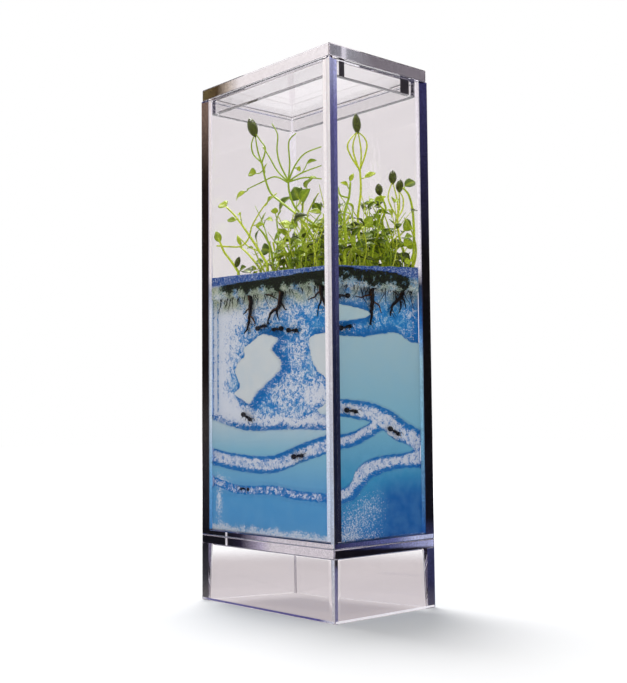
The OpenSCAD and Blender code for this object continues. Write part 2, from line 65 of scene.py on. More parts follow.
TANK_W = TANK_HIGH[0] - TANK_LOW[0]
TANK_D = TANK_HIGH[1] - TANK_LOW[1]
STAND_H = TANK_LOW[2]
RIM_Z = TANK_HIGH[2]
LID_TOP = LID_HIGH[2]
PLUG_Z = LID_LOW[2]
GEL_Z = GEL_LOW[2]
MAT_TOP = MAT_HIGH[2]
GEL_TOP = MAT_LOW[2]
GEL_W = GEL_HIGH[0] - GEL_LOW[0]
GEL_D = GEL_HIGH[1] - GEL_LOW[1]

# Sizes that the boxes don't give, as the part's source has them
GEL_GAP = 0.1
IN_W = GEL_W + 2 * GEL_GAP
IN_D = GEL_D + 2 * GEL_GAP
WALL = (TANK_W - IN_W) / 2
OUTER_R = 0.8
INNER_R = 3.0
STAND_TOP = 4.2
SKIRT_FOOT = 3.6
SKIRT_HEAD = 4.8
PLINTH_INSET = 6.0
PLINTH_H = STAND_HIGH[2] - STAND_H
PLINTH_GAP = 0.3
LID_INSET = (TANK_W - (LID_HIGH[0] - LID_LOW[0])) / 2
PLUG_GAP = 0.5
PLUG_T = 3.0
SEAM_GAP = 0.05
SEAT_GAP = 0.05  # air between pieces that lie on each other, so that both faces show
LIP_H = 6.0
LIP_T = 1.2
CRUST_H = 3.0

FRONT, RIGHT, BACK, LEFT = range(4)

# ---------------------------------------------------------------- camera

IMAGE_H = 683
FOCAL_PX = 1101.29
SENSOR = 36.0
CAMERA_AT = Vector((397.695, -354.879, 87.766))
CAMERA_YAW = math.radians(48.248)  # left of +Y
CAMERA_PITCH = math.radians(4.006)
CAMERA_ROLL = math.radians(-0.512)


def add_camera():
    forward = Vector((-math.sin(CAMERA_YAW) * math.cos(CAMERA_PITCH),
                      math.cos(CAMERA_YAW) * math.cos(CAMERA_PITCH), math.sin(CAMERA_PITCH)))
    level = Vector((math.cos(CAMERA_YAW), math.sin(CAMERA_YAW), 0))
    upright = level.cross(forward)
    right = math.cos(CAMERA_ROLL) * level + math.sin(CAMERA_ROLL) * upright
    up = math.cos(CAMERA_ROLL) * upright - math.sin(CAMERA_ROLL) * level
    data = bpy.data.cameras.new("photo_camera")
    data.sensor_fit = "VERTICAL"
    data.sensor_height = SENSOR
    data.lens = FOCAL_PX * SENSOR / IMAGE_H
    camera = bpy.data.objects.new("photo_camera", data)
    turn = Matrix((right, up, -forward)).transposed().to_4x4()
    camera.matrix_world = Matrix.Translation(CAMERA_AT * MM) @ turn
    bpy.context.scene.collection.objects.link(camera)
    bpy.context.scene.camera = camera


# ---------------------------------------------------------------- material helpers


def srgb(r, g, b):
    """A colour in 0-255 sRGB as linear values."""
    return tuple(c / 12.92 if c <= 0.04045 else ((c + 0.055) / 1.055) ** 2.4
                 for c in (r / 255, g / 255, b / 255))


class Nodes:
    """A small wrapper that adds nodes and links them."""

    def __init__(self, tree):
        self.tree = tree
        tree.nodes.clear()

    def add(self, kind, inputs=None, **settings):
        node = self.tree.nodes.new(kind)
        for name, value in settings.items():
            setattr(node, name, value)
        for name, value in (inputs or {}).items():
            self.put(node.inputs[name], value)
        return node

    def put(self, socket, value):
        if isinstance(value, bpy.types.NodeSocket):
            self.tree.links.new(value, socket)
        elif socket.type == "RGBA" and len(value) == 3:
            socket.default_value = (*value, 1)
        else:
            socket.default_value = value

    def math(self, operation, a, b=0.0, clamp=False):
        return self.add("ShaderNodeMath", {0: a, 1: b}, operation=operation, use_clamp=clamp).outputs[0]

    def ramp(self, value, low, high, to_low=0.0, to_high=1.0):
        """Smooth step of value from low..high to to_low..to_high."""
        return self.add("ShaderNodeMapRange", {"Value": value, "From Min": low, "From Max": high,
                                               "To Min": to_low, "To Max": to_high},
                        interpolation_type="SMOOTHSTEP").outputs["Result"]

    def vector(self, operation, a, b=None, output=0):
        """Vector maths on a and, where the operation takes one, a second vector or a scale."""
        inputs = {0: a}
        if b is not None:
            inputs["Scale" if operation == "SCALE" else 1] = b
        return self.add("ShaderNodeVectorMath", inputs, operation=operation).outputs[output]

    def mix(self, factor, a, b):
        node = self.add("ShaderNodeMix", data_type="RGBA")
        for socket, value in ((node.inputs[0], factor), (node.inputs[6], a), (node.inputs[7], b)):
            self.put(socket, value)
        return node.outputs[2]

    def place_mm(self):
        """Object coordinates in millimetres."""
        where = self.add("ShaderNodeTexCoord").outputs["Object"]
        return self.vector("SCALE", where, 1 / MM)

    def noise(self, where, scale, detail=3.0, roughness=0.55, distortion=0.0):
        return self.add("ShaderNodeTexNoise", {"Vector": where, "Scale": scale, "Detail": detail,
                                               "Roughness": roughness, "Distortion": distortion}).outputs[0]

    def attribute(self, name, output="Fac"):
        return self.add("ShaderNodeAttribute", attribute_name=name).outputs[output]

    def bump(self, height, strength, distance):
        return self.add("ShaderNodeBump", {"Height": height, "Strength": strength,
                                           "Distance": distance}).outputs[0]

    def surface(self, inputs):
        shader = self.add("ShaderNodeBsdfPrincipled", inputs)
        return self.add("ShaderNodeOutputMaterial", {"Surface": shader.outputs[0]})

    def glassy_ray(self):
        """1 for a ray that left glass or gloss, else 0, and the light path's outputs."""
        ray = self.add("ShaderNodeLightPath").outputs
        return self.math("MAXIMUM", ray["Is Glossy Ray"], ray["Is Transmission Ray"]), ray


def new_material(name):
    material = bpy.data.materials.new(name)
    material.use_nodes = True
    return material, Nodes(material.node_tree)


ACRYLIC_IOR = 1.59  # clear polystyrene
STAND_TINT = (0.5, 0.45, 0.7), 5.0  # the colour that depth leaves, and how fast
TANK_TINT = (0.36, 0.35, 0.6), 14.0
LID_TINT = (0.5, 0.46, 0.6), 5.0


def acrylic_material(name, absorbed, density):
    """Clear acrylic: polished, with hairline rubbing marks, and a faint tint that its depth adds."""
    material, n = new_material(name)
    place = n.place_mm()
    stretched = n.vector("MULTIPLY", place, (0.5, 0.5, 0.06))
    rubbed = n.ramp(n.noise(stretched, 1.4, 5.0, 0.7), 0.56, 0.74)
    out = n.surface({
        "Base Color": (1.0, 1.0, 1.0), "Transmission Weight": 1.0, "IOR": ACRYLIC_IOR,
        "Roughness": n.math("MULTIPLY", rubbed, 0.05)})
    absorb = n.add("ShaderNodeVolumeAbsorption", {"Color": absorbed, "Density": density})
    n.put(out.inputs["Volume"], absorb.outputs[0])
    return material


# ---------------------------------------------------------------- mesh helpers


def area_normals(mesh):
    """Smooth shading with each vertex's normal weighted by face area, which keeps the panes flat."""
    count = len(mesh.vertices)
    totals = np.zeros((count, 3))
    for face in mesh.polygons:
        totals[list(face.vertices)] += np.array(face.normal) * face.area
    totals /= np.maximum(np.linalg.norm(totals, axis=1), 1e-20)[:, None]
    mesh.shade_smooth()
    mesh.normals_split_custom_set_from_vertices([tuple(t) for t in totals])


def add_object(name, points, faces, body, material, nodes=()):
    """A mesh object from points in mm, which rides on body and may stand for CAD nodes."""
    mesh = bpy.data.meshes.new(name)
    mesh.from_pydata([tuple(c * MM for c in p) for p in points], [], faces)
    mesh.validate()
    mesh.shade_smooth()
    mesh.materials.append(material)
    made = bpy.data.objects.new(name, mesh)
    bpy.context.scene.collection.objects.link(made)
    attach(made, body)
    if nodes:
        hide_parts(*nodes)
    return made


def turned(pane, u, out):
    a = math.radians(90 * pane)
    return (u * math.cos(a) + out * math.sin(a), u * math.sin(a) - out * math.cos(a))


def inward(pane):
    return -Vector((*turned(pane, 0, 1), 0))


def faces_front(pane):
    """True for the two wide panes, which run along X."""
    return pane % 2 == 0


def step(x, low, high):
    t = np.clip((x - low) / (high - low), 0, 1)
    return t * t * (3 - 2 * t)


def shade(tone, factor):
    return tuple(c * factor for c in tone)


def blend(a, b, share):
    return tuple(p + (q - p) * share for p, q in zip(a, b))


def solid_faces(rings, count):
    """Faces of a closed solid made of rings of count points: its sides and its two ends."""
    sides = [(a + j, a + (j + 1) % count, a + count + (j + 1) % count, a + count + j)
             for a in range(0, (rings - 1) * count, count) for j in range(count)]
    last = (rings - 1) * count
    return sides + [tuple(reversed(range(count))), tuple(range(last, last + count))]


def sheet_faces(rows, columns):
    row = columns + 1
    return [(a, a + 1, a + row + 1, a + row) for i in range(rows) for a in range(i * row, i * row + columns)]


def sheet_rim(rows, columns):
    """The outermost points of a sheet in turn, anticlockwise."""
    row = columns + 1
    return [*range(columns), *[i * row + columns for i in range(rows)],
            *[rows * row + columns - j for j in range(columns)], *[(rows - i) * row for i in range(rows)]]


def round_outline(half_w, half_d, radius, segments):
    """Points round a rectangle with round corners, from the +X -Y corner on, anticlockwise."""
    points = []
    for corner in range(4):
        angle = -90 + 90 * corner
        cx = (half_w - radius) * (1 if corner in (0, 1) else -1)
        cy = (half_d - radius) * (-1 if corner in (0, 3) else 1)
        for i in range(segments + 1):
            a = math.radians(angle + 90 * i / segments)
            points.append((cx + radius * math.cos(a), cy + radius * math.sin(a)))
    return points


def soften(profile, segments=3):
    """Rounds the corners of a profile of (inset, z, radius) points."""
    out = []
    for i, (inset, z, radius) in enumerate(profile):
        here = Vector((inset, z))
        if radius <= 0 or i in (0, len(profile) - 1):
            out.append(here)
            continue
        before = Vector(profile[i - 1][:2])
        after = Vector(profile[i + 1][:2])
        start = here + (before - here).normalized() * radius
        end = here + (after - here).normalized() * radius
        for k in range(segments + 1):
            t = k / segments
            out.append((1 - t) ** 2 * start + 2 * t * (1 - t) * here + t ** 2 * end)
    return out


def add_shell(body, profile, corner_r, material, node, segments=8):
    """A clear solid whose profile of (inset, z) runs round the tank's outline."""
    points = [(x, y, z) for inset, z in profile
              for x, y in round_outline(TANK_W / 2 - inset, TANK_D / 2 - inset, corner_r(inset), segments)]
    faces = solid_faces(len(profile), len(points) // len(profile))
    made = add_object("clear_" + body, points, faces, body, material, [node])
    bm = bmesh.new()
    bm.from_mesh(made.data)
    bmesh.ops.recalc_face_normals(bm, faces=bm.faces)
    bm.to_mesh(made.data)
    bm.free()
    area_normals(made.data)
    made.visible_shadow = False  # clear pieces let the plain light reach what is inside
    made.visible_diffuse = False


# ---------------------------------------------------------------- acrylic pieces


def tank_corner(inset):
    return max(0.3, OUTER_R - inset) if inset < WALL * 0.75 else 0.6


def add_tank(material):
    recess = PLINTH_INSET - PLINTH_GAP
    ceiling = STAND_H + PLINTH_H + PLINTH_GAP
    seat = STAND_H + SEAT_GAP
    profile = soften([
        (recess, ceiling, 0), (recess, seat, 0.15), (0, seat, 0.35), (0, RIM_Z, 0.4),
        (WALL, RIM_Z, 0.4), (WALL, GEL_Z, 1.0), (WALL + 2.5, GEL_Z, 0)])
    add_shell("tank", profile, tank_corner, material, "tank_shell")


def add_stand(material):
    ceiling = STAND_H - STAND_TOP
    profile = soften([
        (PLINTH_INSET, STAND_H + PLINTH_H, 0), (PLINTH_INSET, STAND_H, 0.15), (0, STAND_H, 0.35),
        (0, 0, 0.35), (SKIRT_FOOT, 0, 0.3), (SKIRT_HEAD, ceiling, 0.8), (SKIRT_HEAD + 3, ceiling, 0)])

    def corner(inset):
        return max(0.3, OUTER_R - inset) if inset < 2 else 1.6
    add_shell("stand", profile, corner, material, "stand")


def add_lid(material):
    seat = RIM_Z + SEAT_GAP
    outside = WALL + PLUG_GAP
    inside = outside + PLUG_T
    profile = soften([
        (LID_INSET + 2, LID_TOP, 0), (LID_INSET, LID_TOP, 0.5), (LID_INSET, seat, 0.35),
        (outside, seat, 0.3), (outside, PLUG_Z, 0.5), (inside, PLUG_Z, 0.5), (inside, seat, 0.8),
        (inside + 2.5, seat, 0)])

    def corner(inset):
        return max(0.3, OUTER_R - (inset - LID_INSET)) if inset < outside * 0.75 else \
            max(0.6, INNER_R - (inset - outside))
    add_shell("lid", profile, corner, material, "lid")


# The four corners are bonded. In each a thin film runs through the thickness of the wall on the mitre, and a
# slim fillet fills the inside corner.
# Both carry painted reflections: the bands of the surroundings and of the gel that the clear corners show. A
# tint is a list of (place, sRGB colour).

FILM_T = 0.08
FILM_DEEP = 0.3  # how far behind a plate's edge a film lies
PAINTED_EDGE_GLOW = 0.5  # painted glow on the films and fillets, in place of the light that the clear walls pipe to them
SEAM_SHY = 0.4  # how far the film stays inside the outer edge
BEAD_LEG = 2.4
# Painted reflections on the bonds: a few stops over the height
PALE = [(0, (190, 184, 186)), (50, (178, 191, 209)), (115, (216, 211, 213)),
        (243, (232, 225, 223))]
VIOLET = [(0, (112, 110, 146)), (22, (100, 98, 140)), (25, (14, 10, 18)), (36, (18, 20, 40)),
          (110, (28, 33, 62)), (225, (90, 88, 142)), (243, (160, 162, 200))]
NAVY = [(0, (36, 34, 68)), (33, (60, 62, 100)), (36, (8, 6, 10)), (165, (14, 10, 12)),
        (243, (60, 58, 104))]
BROWN = [(0, (70, 68, 72)), (34, (6, 5, 5)), (85, (62, 56, 54)), (110, (24, 16, 14)),
         (208, (34, 22, 18)), (243, (140, 116, 102))]
FAINT = [(34, (90, 140, 190)), (147, (172, 186, 196)), (158, (60, 90, 160)),
         (159, (228, 221, 229))]
FAR = [(0, (100, 92, 102)), (165, (176, 178, 212)), (215, (88, 92, 168)), (226, (48, 44, 70))]
# painted reflections of the gel: its colours as the fillets of the left and right corners show them
GEL_LEFT = [(34, (66, 126, 184)), (60, (98, 156, 196)), (86, (184, 197, 208)),
            (147, (204, 206, 212)), (153, (60, 90, 150)), (157.5, (60, 90, 150)),
            (158.5, (226, 216, 216))]
GEL_RIGHT = [(34, (4, 74, 142)), (84, (110, 160, 185)), (121, (140, 176, 190)),
             (125, (34, 108, 188)), (149, (24, 32, 24)), (156, (50, 90, 164)),
             (159, (231, 224, 229))]
CORNERS = [  # name, side in x and in y, then the film's two tints and the fillet's: seen along Y, along X
    ("near", 1, -1, PALE, VIOLET, PALE, VIOLET),
    ("right", 1, 1, FAINT, NAVY, FAINT, GEL_RIGHT),
    ("far", -1, 1, FAR, FAR, FAR, FAR),
    ("left", -1, -1, BROWN, NAVY, GEL_LEFT, FAINT),
]


def tint_at(tint, at):
    """The tint's colour at a place or at an array of places, on the last axis."""
    levels = [level for level, _ in tint]
    colours = np.array([srgb(*colour) for _, colour in tint])
    return np.stack([np.interp(at, levels, channel) for channel in colours.T], axis=-1)


def write_tones(made, tones):
    colours = np.concatenate([np.array(tones), np.ones((len(tones), 1))], axis=1)
    made.data.attributes.new("tone", "FLOAT_COLOR", "POINT").data.foreach_set(
        "color", colours.astype(np.float32).ravel())


def upright(outline, tints, low, high, rows=24):
    """A closed upright prism. Each side of its outline has its own tint and its own points."""
    points, faces, tones = [], [], []
    count = len(outline)
    levels = [low + (high - low) * i / rows for i in range(rows + 1)]
    for k in range(count):
        first = len(points)
        for z in levels:
            for a, b in (outline[k], outline[(k + 1) % count]):
                points.append((a, b, z))
                tones.append(tint_at(tints[k], z))
        faces += [(c, c + 1, c + 3, c + 2) for c in range(first, first + 2 * rows, 2)]
    for z in (low, high):
        first = len(points)
        points += [(a, b, z) for a, b in outline]
        tones += [tint_at(tints[0], z)] * count
        ring = range(first, first + count)
        faces.append(tuple(ring if z == high else reversed(ring)))
    return points, faces, tones


def add_corners(material, body, low, high, wall, bead_low=None):
    """The bonded corners of one body: films on the mitres and, from bead_low up, fillets inside, both
    painted with reflections.
    """
    h = FILM_T / 2
    start, end = SEAM_SHY, wall - 0.05
    gap = wall + SEAM_GAP
    arc = [(wall + INNER_R * (1 - math.sin(a)), wall + INNER_R * (1 - math.cos(a)))
           for a in (math.radians(20 + 50 * i / 5) for i in range(6))]
    for name, sx, sy, film_y, film_x, bead_y, bead_x in CORNERS:
        # outlines are measured inwards from the outer corner, along X and along Y
        shapes = [("seam_reflection", upright([(start + h, start - h), (end + h, end - h), (end - h, end + h),
                                    (start - h, start + h)], [film_y, film_x, film_x, film_y], low, high))]
        if bead_low is not None:
            outline = [(gap, gap), (wall + BEAD_LEG, gap)] + arc + [(gap, wall + BEAD_LEG)]
            shapes.append(("fillet", upright(outline, [bead_y] + [FAINT] * (len(outline) - 2) + [bead_x],
                                             bead_low, high)))
        for kind, (points, faces, tones) in shapes:
            points = [(sx * (TANK_W / 2 - a), sy * (TANK_D / 2 - b), z) for a, b, z in points]
            if sx * sy < 0:
                faces = [tuple(reversed(face)) for face in faces]
            made = add_object("%s_%s_%s" % (body, kind, name), points, faces, body, material)
            made.data.shade_flat()
            write_tones(made, tones)


# Films just inside the plates' edges, which carry painted reflections: the dark and pale streaks that the
# edges show.
# The tints run along an edge, from left to right as seen from outside.
LID_RIGHT_REFLECTION = [(-31.4, (146, 144, 152)), (-24.5, (154, 152, 162)), (-23.5, (220, 216, 226)),
            (-21.5, (220, 216, 226)), (-20.5, (166, 165, 173)), (-4, (138, 131, 138)),
            (31.4, (142, 134, 142))]
LID_OLIVE = [(-47.2, (116, 101, 64)), (-35, (94, 74, 48)), (-27, (190, 174, 158)),
             (-17, (242, 234, 233)), (47.2, (246, 239, 239))]
BAND_DARK = [(-29, (9, 8, 8)), (-28.7, (215, 210, 214)), (-27.6, (215, 210, 214)),
             (-27.2, (8, 7, 10)), (-17, (34, 28, 46)), (-2, (170, 160, 180)),
             (6, (204, 196, 200))]
FLOOR_VIOLET = [(-31, (48, 46, 86)), (6, (100, 106, 160)), (19, (178, 184, 214))]
FOOT_VIOLET = [(-47, (190, 188, 196)), (-42, (94, 92, 148)), (38, (72, 68, 138)),
               (44, (190, 190, 206))]
FOOT_PALE = [(0, (230, 227, 233))]
PLUG_END = [(0, (58, 54, 60))]


WEDGE_VIOLET = [(0, (30, 26, 56)), (0.5, (60, 66, 116)), (1, (164, 168, 206))]


def wedge_tone(u, z):
    """Painted reflection: black that thins out towards the far end of the stand's top plate, under violet
    and white.
    """
    up = (z - (STAND_H - STAND_TOP)) / STAND_TOP
    along = (u + TANK_D / 2) / TANK_D
    edge = step(up - (1.0 - 0.85 * along), -0.12, 0.12)
    return blend(srgb(6, 2, 6), tint_at(WEDGE_VIOLET, along), edge)


def add_film(name, body, pane, ends, levels, deep, tone, material):
    """A thin closed film, deep behind an outer face. tone is a tint or a function of u and z."""
    columns, rows = max(2, round((ends[1] - ends[0]) / 0.6)), 5
    out = (TANK_D if faces_front(pane) else TANK_W) / 2 - deep
    points, tones = [], []
    for layer in (0, FILM_T):
        for i in range(rows + 1):
            for j in range(columns + 1):
                u = ends[0] + (ends[1] - ends[0]) * j / columns
                z = levels[0] + (levels[1] - levels[0]) * i / rows
                points.append((*turned(pane, u, out - layer), z))
                tones.append(tone(u, z) if callable(tone) else tint_at(tone, u))
    back = len(points) // 2
    faces = sheet_faces(rows, columns)
    faces += [tuple(back + a for a in reversed(face)) for face in faces]
    rim = sheet_rim(rows, columns)
    faces += [(a, back + a, back + b, b) for a, b in zip(rim, rim[1:] + rim[:1])]
    made = add_object("film_" + name, points, faces, body, material)
    made.data.shade_flat()
    write_tones(made, tones)


def add_films(material):
    plate = (STAND_H - STAND_TOP + 0.3, STAND_H - 0.4)
    base = (STAND_H + 0.45, GEL_Z - 0.2)
    lid = (RIM_Z + 0.5, LID_TOP - 0.55)
    plug = (PLUG_Z + 0.3, RIM_Z - 0.4)
    foot = (0.3, 1.2)
    front, side = TANK_W / 2 - 0.8, TANK_D / 2 - 0.8
    # each tint is a painted reflection of what its edge shows
    for name, body, pane, ends, levels, inset, tint in (
            ("lid_front", "lid", FRONT, (0.4 - front, front - 0.4), lid, LID_INSET, LID_OLIVE),
            ("stand_front", "stand", FRONT, (-front, front), plate, 0, BAND_DARK),
            ("tank_front", "tank", FRONT, (-front, front), base, 0, BAND_DARK),
            ("foot_front", "stand", FRONT, (-front, front), foot, 0, FOOT_VIOLET),
            ("lid_right", "lid", RIGHT, (0.4 - side, side - 0.4), lid, LID_INSET, LID_RIGHT_REFLECTION),
            ("tank_right", "tank", RIGHT, (-side, side), base, 0, FLOOR_VIOLET),
            ("foot_right", "stand", RIGHT, (-side, side), foot, 0, FOOT_PALE),
            ("plug_right_1", "lid", RIGHT, (-23.7, -20.4), plug, WALL + PLUG_GAP, PLUG_END),
            ("plug_right_2", "lid", RIGHT, (15.8, 21.6), plug, WALL + PLUG_GAP, PLUG_END),
            ("stand_right", "stand", RIGHT, (-side, side), plate, 0, wedge_tone)):
        add_film(name, body, pane, ends, levels, inset + FILM_DEEP, tint, material)


def painted_edge_material():
    """Painted reflections on the bonds and edges, with a painted glow: streaked, with fine specks."""
    material, n = new_material("painted_edge_reflection")
    place = n.place_mm()
    long_way = n.vector("MULTIPLY", place, (1, 1, 0.12))
    streaks = n.ramp(n.noise(long_way, 1.1, 4.0, 0.65), 0.3, 0.7, 0.84, 1.1)
    specks = n.ramp(n.noise(place, 1.9, 5.0, 0.75), 0.36, 0.64, 0.5, 1.42)
    written = n.attribute("tone", "Color")
    pale = n.math("MULTIPLY", n.add("ShaderNodeRGBToBW", {"Color": written}).outputs[0], 0.85)
    mottle = n.math("SUBTRACT", n.math("MULTIPLY", streaks, specks), 1.0)
    mottle = n.math("ADD", n.math("MULTIPLY", mottle, n.math("SUBTRACT", 1.0, pale)), 1.0)
    tone = n.vector("SCALE", written, mottle)
    # the emission in the written tone is a painted glow, which no lamp gives
    n.surface({"Base Color": tone, "Roughness": n.ramp(specks, 0.5, 1.42, 0.4, 0.55),
               "Specular IOR Level": 0.2, "Emission Color": tone, "Emission Strength": PAINTED_EDGE_GLOW})
    return material


# ---------------------------------------------------------------- drawings of the diggings
# A point [u, z] is u to the right of a pane's middle, seen from outside, and z above the foot, in mm.

GALLERY_FLOOR = [
    [(-46, 89), (-30, 85), (-15, 82.5), (0, 82.5), (20, 83), (46, 82.5)],
    [(-30, 124.8), (-13, 124), (0.5, 126), (11, 126.9), (20.5, 123), (30, 123)],
    [(-46, 123), (-20, 114), (0, 108), (20, 112), (46, 116)],
    [(-30, 116), (-8, 107), (10, 95), (30, 89)],
]
ISLANDS = [
    (FRONT, [(-9, 125), (-2, 127.5), (9, 124.5), (4, 120.5), (9.5, 115), (10, 110.5), (-0.5, 104),
             (-7.5, 100), (-12.5, 95), (-18, 97), (-24.5, 100), (-20, 103), (-21.5, 107), (-23.5, 110.5),
             (-21, 115), (-16, 118), (-16.5, 121.5)]),
    (FRONT, [(31, 124), (32, 115), (34, 110.5), (41, 105.5), (47, 104), (47, 114), (47, 124.5)]),
    (FRONT, [(35, 91), (39, 93.5), (47, 96.5), (47, 91.5), (40, 89.5)]),
    (RIGHT, [(-31, 138), (-10, 136.5), (-6, 134.4), (-13, 132.2), (-31, 130.2)]),
    (BACK, [(-20, 137), (-5, 140), (12, 137), (20, 128), (8, 122), (-8, 121), (-20, 126)]),
    (LEFT, [(-12, 139), (2, 141), (14, 136), (10, 125), (-4, 122), (-14, 128)]),
]
TUNNELS = [
    (FRONT, [(-46, 70.5), (-30, 68), (-10, 66.5), (5, 67), (15, 69.5), (25, 72.5), (35, 75), (46, 77.5)], 8),
    (FRONT, [(-46, 58.5), (-35, 56.5), (-25, 54.5), (-10, 54.5), (5, 55), (20, 53.5), (46, 53)], 6.6),
    (RIGHT, [(-30, 77), (-17, 78.7), (-9, 81.5), (0, 85.5)], 6.4),
    (BACK, [(-46, 71), (-25, 71), (-8, 76), (10, 84), (30, 88), (46, 86)], 7.5),
    (BACK, [(-24, 70), (-6, 60), (10, 52), (28, 46), (46, 44)], 6.6),
    (LEFT, [(-30, 86), (-15, 84), (0, 80), (15, 74), (30, 70.5)], 7.5),
    (LEFT, [(-30, 44), (-12, 44), (0, 47), (14, 54), (30, 58.5)], 6.6),
]
WIDE_TUNNELS = [
    (RIGHT, [(-30, 96.5), (-14.5, 95.6), (-3.3, 94), (8, 90.3), (18, 85), (30, 80.5)],
     [(-30, 89.4), (-15.8, 87.5), (-7, 86), (-0.8, 83.5), (9.3, 77.5), (19.3, 74.4), (30, 66)]),
    (RIGHT, [(-30, 56.5), (-20, 58.8), (-15.8, 65), (-9.5, 68.8), (-0.8, 70.6), (9.3, 71.3), (20, 72.5),
             (30, 76)],
     [(-30, 50), (-18, 52), (-13.3, 55.6), (-7, 60.6), (3, 63.5), (15.5, 64.8), (30, 64.4)]),
]
FAINT_TUNNEL = 1  # place in TUNNELS of the shallow one low on the front

# Where white crumbs of gel lie thick, as (pane, u, z, half width, half height, share)
WHITE_PATCHES = [
    (FRONT, -40, 134, 14, 18, 0.6), (FRONT, -42, 106, 9, 16, 0.65), (FRONT, -36, 94, 12, 6, 0.55),
    (FRONT, -22, 90, 14, 4, 0.5), (FRONT, 30, 98, 6, 5, 0.35),
    (FRONT, 4, 86.5, 26, 2.6, 0.42), (FRONT, 36, 87, 16, 2.6, 0.45), (FRONT, 38, 98, 9, 6, 0.30),
    (FRONT, 14, 102, 16, 7, 0.16), (FRONT, 20, 118, 8, 6, 0.18), (FRONT, -20, 140, 26, 6, 0.22),
    (FRONT, 12, 134, 12, 5, 0.10), (FRONT, -36, 48, 3, 9, 0.6), (FRONT, -36, 58, 9, 3, 0.5),
    (FRONT, -43, 36, 6, 3, 0.2),
    (RIGHT, -12, 142, 12, 7, 0.26), (RIGHT, -19, 128, 14, 2.4, 0.34), (RIGHT, 24, 136, 7, 3, 0.36),
    (RIGHT, 22, 127, 8, 3, 0.30), (RIGHT, 2, 134, 12, 4, 0.10), (RIGHT, -14, 43, 13, 8, 0.34),
    (RIGHT, -22, 38, 9, 6, 0.22), (RIGHT, -6, 50, 8, 5, 0.22),
    (BACK, 0, 130, 30, 12, 0.2), (LEFT, 0, 128, 20, 12, 0.22),
]
BLUE_PATCHES = [  # where the crumbs are few and the dug face is a plain blue
    (FRONT, 33, 130, 6, 6, 1.0), (FRONT, -27, 104, 7, 8, 0.8), (FRONT, -8, 92, 8, 5, 0.7),
    (FRONT, 27, 112, 4, 9, 0.5), (FRONT, 6, 132, 8, 4, 0.4), (RIGHT, 14, 134, 9, 6, 0.6),
    (RIGHT, -8, 133, 6, 4, 0.6), (FRONT, -20, 139, 4, 2, 0.4),
]


def smooth_line(points, steps, closed=False):
    """The points and steps - 1 more between each two, on a smooth curve."""
    p = [np.array(q, float) for q in points]
    n = len(p)

    def knot(i):
        return p[i % n] if closed else p[max(0, min(n - 1, i))]
    out = []
    for i in range(n if closed else n - 1):
        a, b, c, d = knot(i - 1), knot(i), knot(i + 1), knot(i + 2)
        for s in range(steps):
            t = s / steps
            out.append(b + t * (c - a) / 2 + t * t * (a - 2.5 * b + 2 * c - d / 2)
                       + t ** 3 * (1.5 * (b - c) + (d - a) / 2))
    if not closed:
        out.append(p[-1])
    return np.array(out)


def band(points, width):
    line = smooth_line(points, 6)
    way = np.gradient(line, axis=0)
    way /= np.linalg.norm(way, axis=1)[:, None]
    side = np.stack([-way[:, 1], way[:, 0]], axis=1) * width / 2
    return np.concatenate([line + side, (line - side)[::-1]])


def polygon_depth(points, polygon):
    """How deep each point lies inside a polygon; outside it is less than zero."""
    px, pz = points[:, 0][:, None], points[:, 1][:, None]
    a, b = polygon, np.roll(polygon, -1, axis=0)
    ax, az, bx, bz = a[:, 0], a[:, 1], b[:, 0], b[:, 1]
    dx, dz = bx - ax, bz - az
    t = np.clip(((px - ax) * dx + (pz - az) * dz) / np.maximum(dx * dx + dz * dz, 1e-9), 0, 1)
    near = np.sqrt(((px - ax - t * dx) ** 2 + (pz - az - t * dz) ** 2).min(axis=1))
    crossed = ((az > pz) != (bz > pz)) & (px < dx * (pz - az) / np.where(dz == 0, 1e-9, dz) + ax)
    return np.where(crossed.sum(axis=1) % 2 == 1, near, -near)


def dig_field(pane, points):
    """Depth inside the diggings of a pane, and how much of it is a tunnel, for points [u, z]."""
    top = GEL_TOP - CRUST_H
    lower = smooth_line(GALLERY_FLOOR[pane], 6)
    field = polygon_depth(points, np.concatenate([[(lower[0][0], top)], lower, [(lower[-1][0], top)]]))
    for where, outline in ISLANDS:
        if where == pane:
            field = np.minimum(field, -polygon_depth(points, smooth_line(outline, 4, closed=True)))
    tunnel = np.full(len(points), -99.0)
    faint = np.full(len(points), -99.0)
    for i, (where, line, width) in enumerate(TUNNELS):
        if where == pane:
            inside = polygon_depth(points, band(line, width))
            if i == FAINT_TUNNEL:
                faint = inside
            else:
                tunnel = np.maximum(tunnel, inside)
    for where, upper, floor in WIDE_TUNNELS:
        if where == pane:
            both = np.concatenate([smooth_line(upper, 6), smooth_line(floor, 6)[::-1]])
            tunnel = np.maximum(tunnel, polygon_depth(points, both))
    return field, tunnel, faint


def patches(pane, u, z, table):
    total = np.zeros(len(u))
    for where, pu, pz, half_u, half_z, share in table:
        if where == pane:
            total += share * np.exp(-((u - pu) / half_u) ** 2 - ((z - pz) / half_z) ** 2)
    return total


# ---------------------------------------------------------------- gel

GEL_R = INNER_R - GEL_GAP
CORNER_PARTS = 8
GEL_STEP = 0.72  # spacing of the gel's surface points
GALLERY_DEPTH = 3.4
TUNNEL_DEPTH = 3.0
FAINT_DEPTH = 1.3
CORNER_DEPTH = 0.7  # the most that the upright corners can be dug
LIP_LINE = {FRONT: (157.8, 154.8), RIGHT: (154.8, 158.4), BACK: (158.4, 156.5), LEFT: (156.5, 157.8)}
MAT_BAND = (148.9, 153.2)  # where the seed mat shows through the gel behind the panes
DARK_LINE = [(19, 87.6), (30, 91.5), (41, 96), (47, 98)]

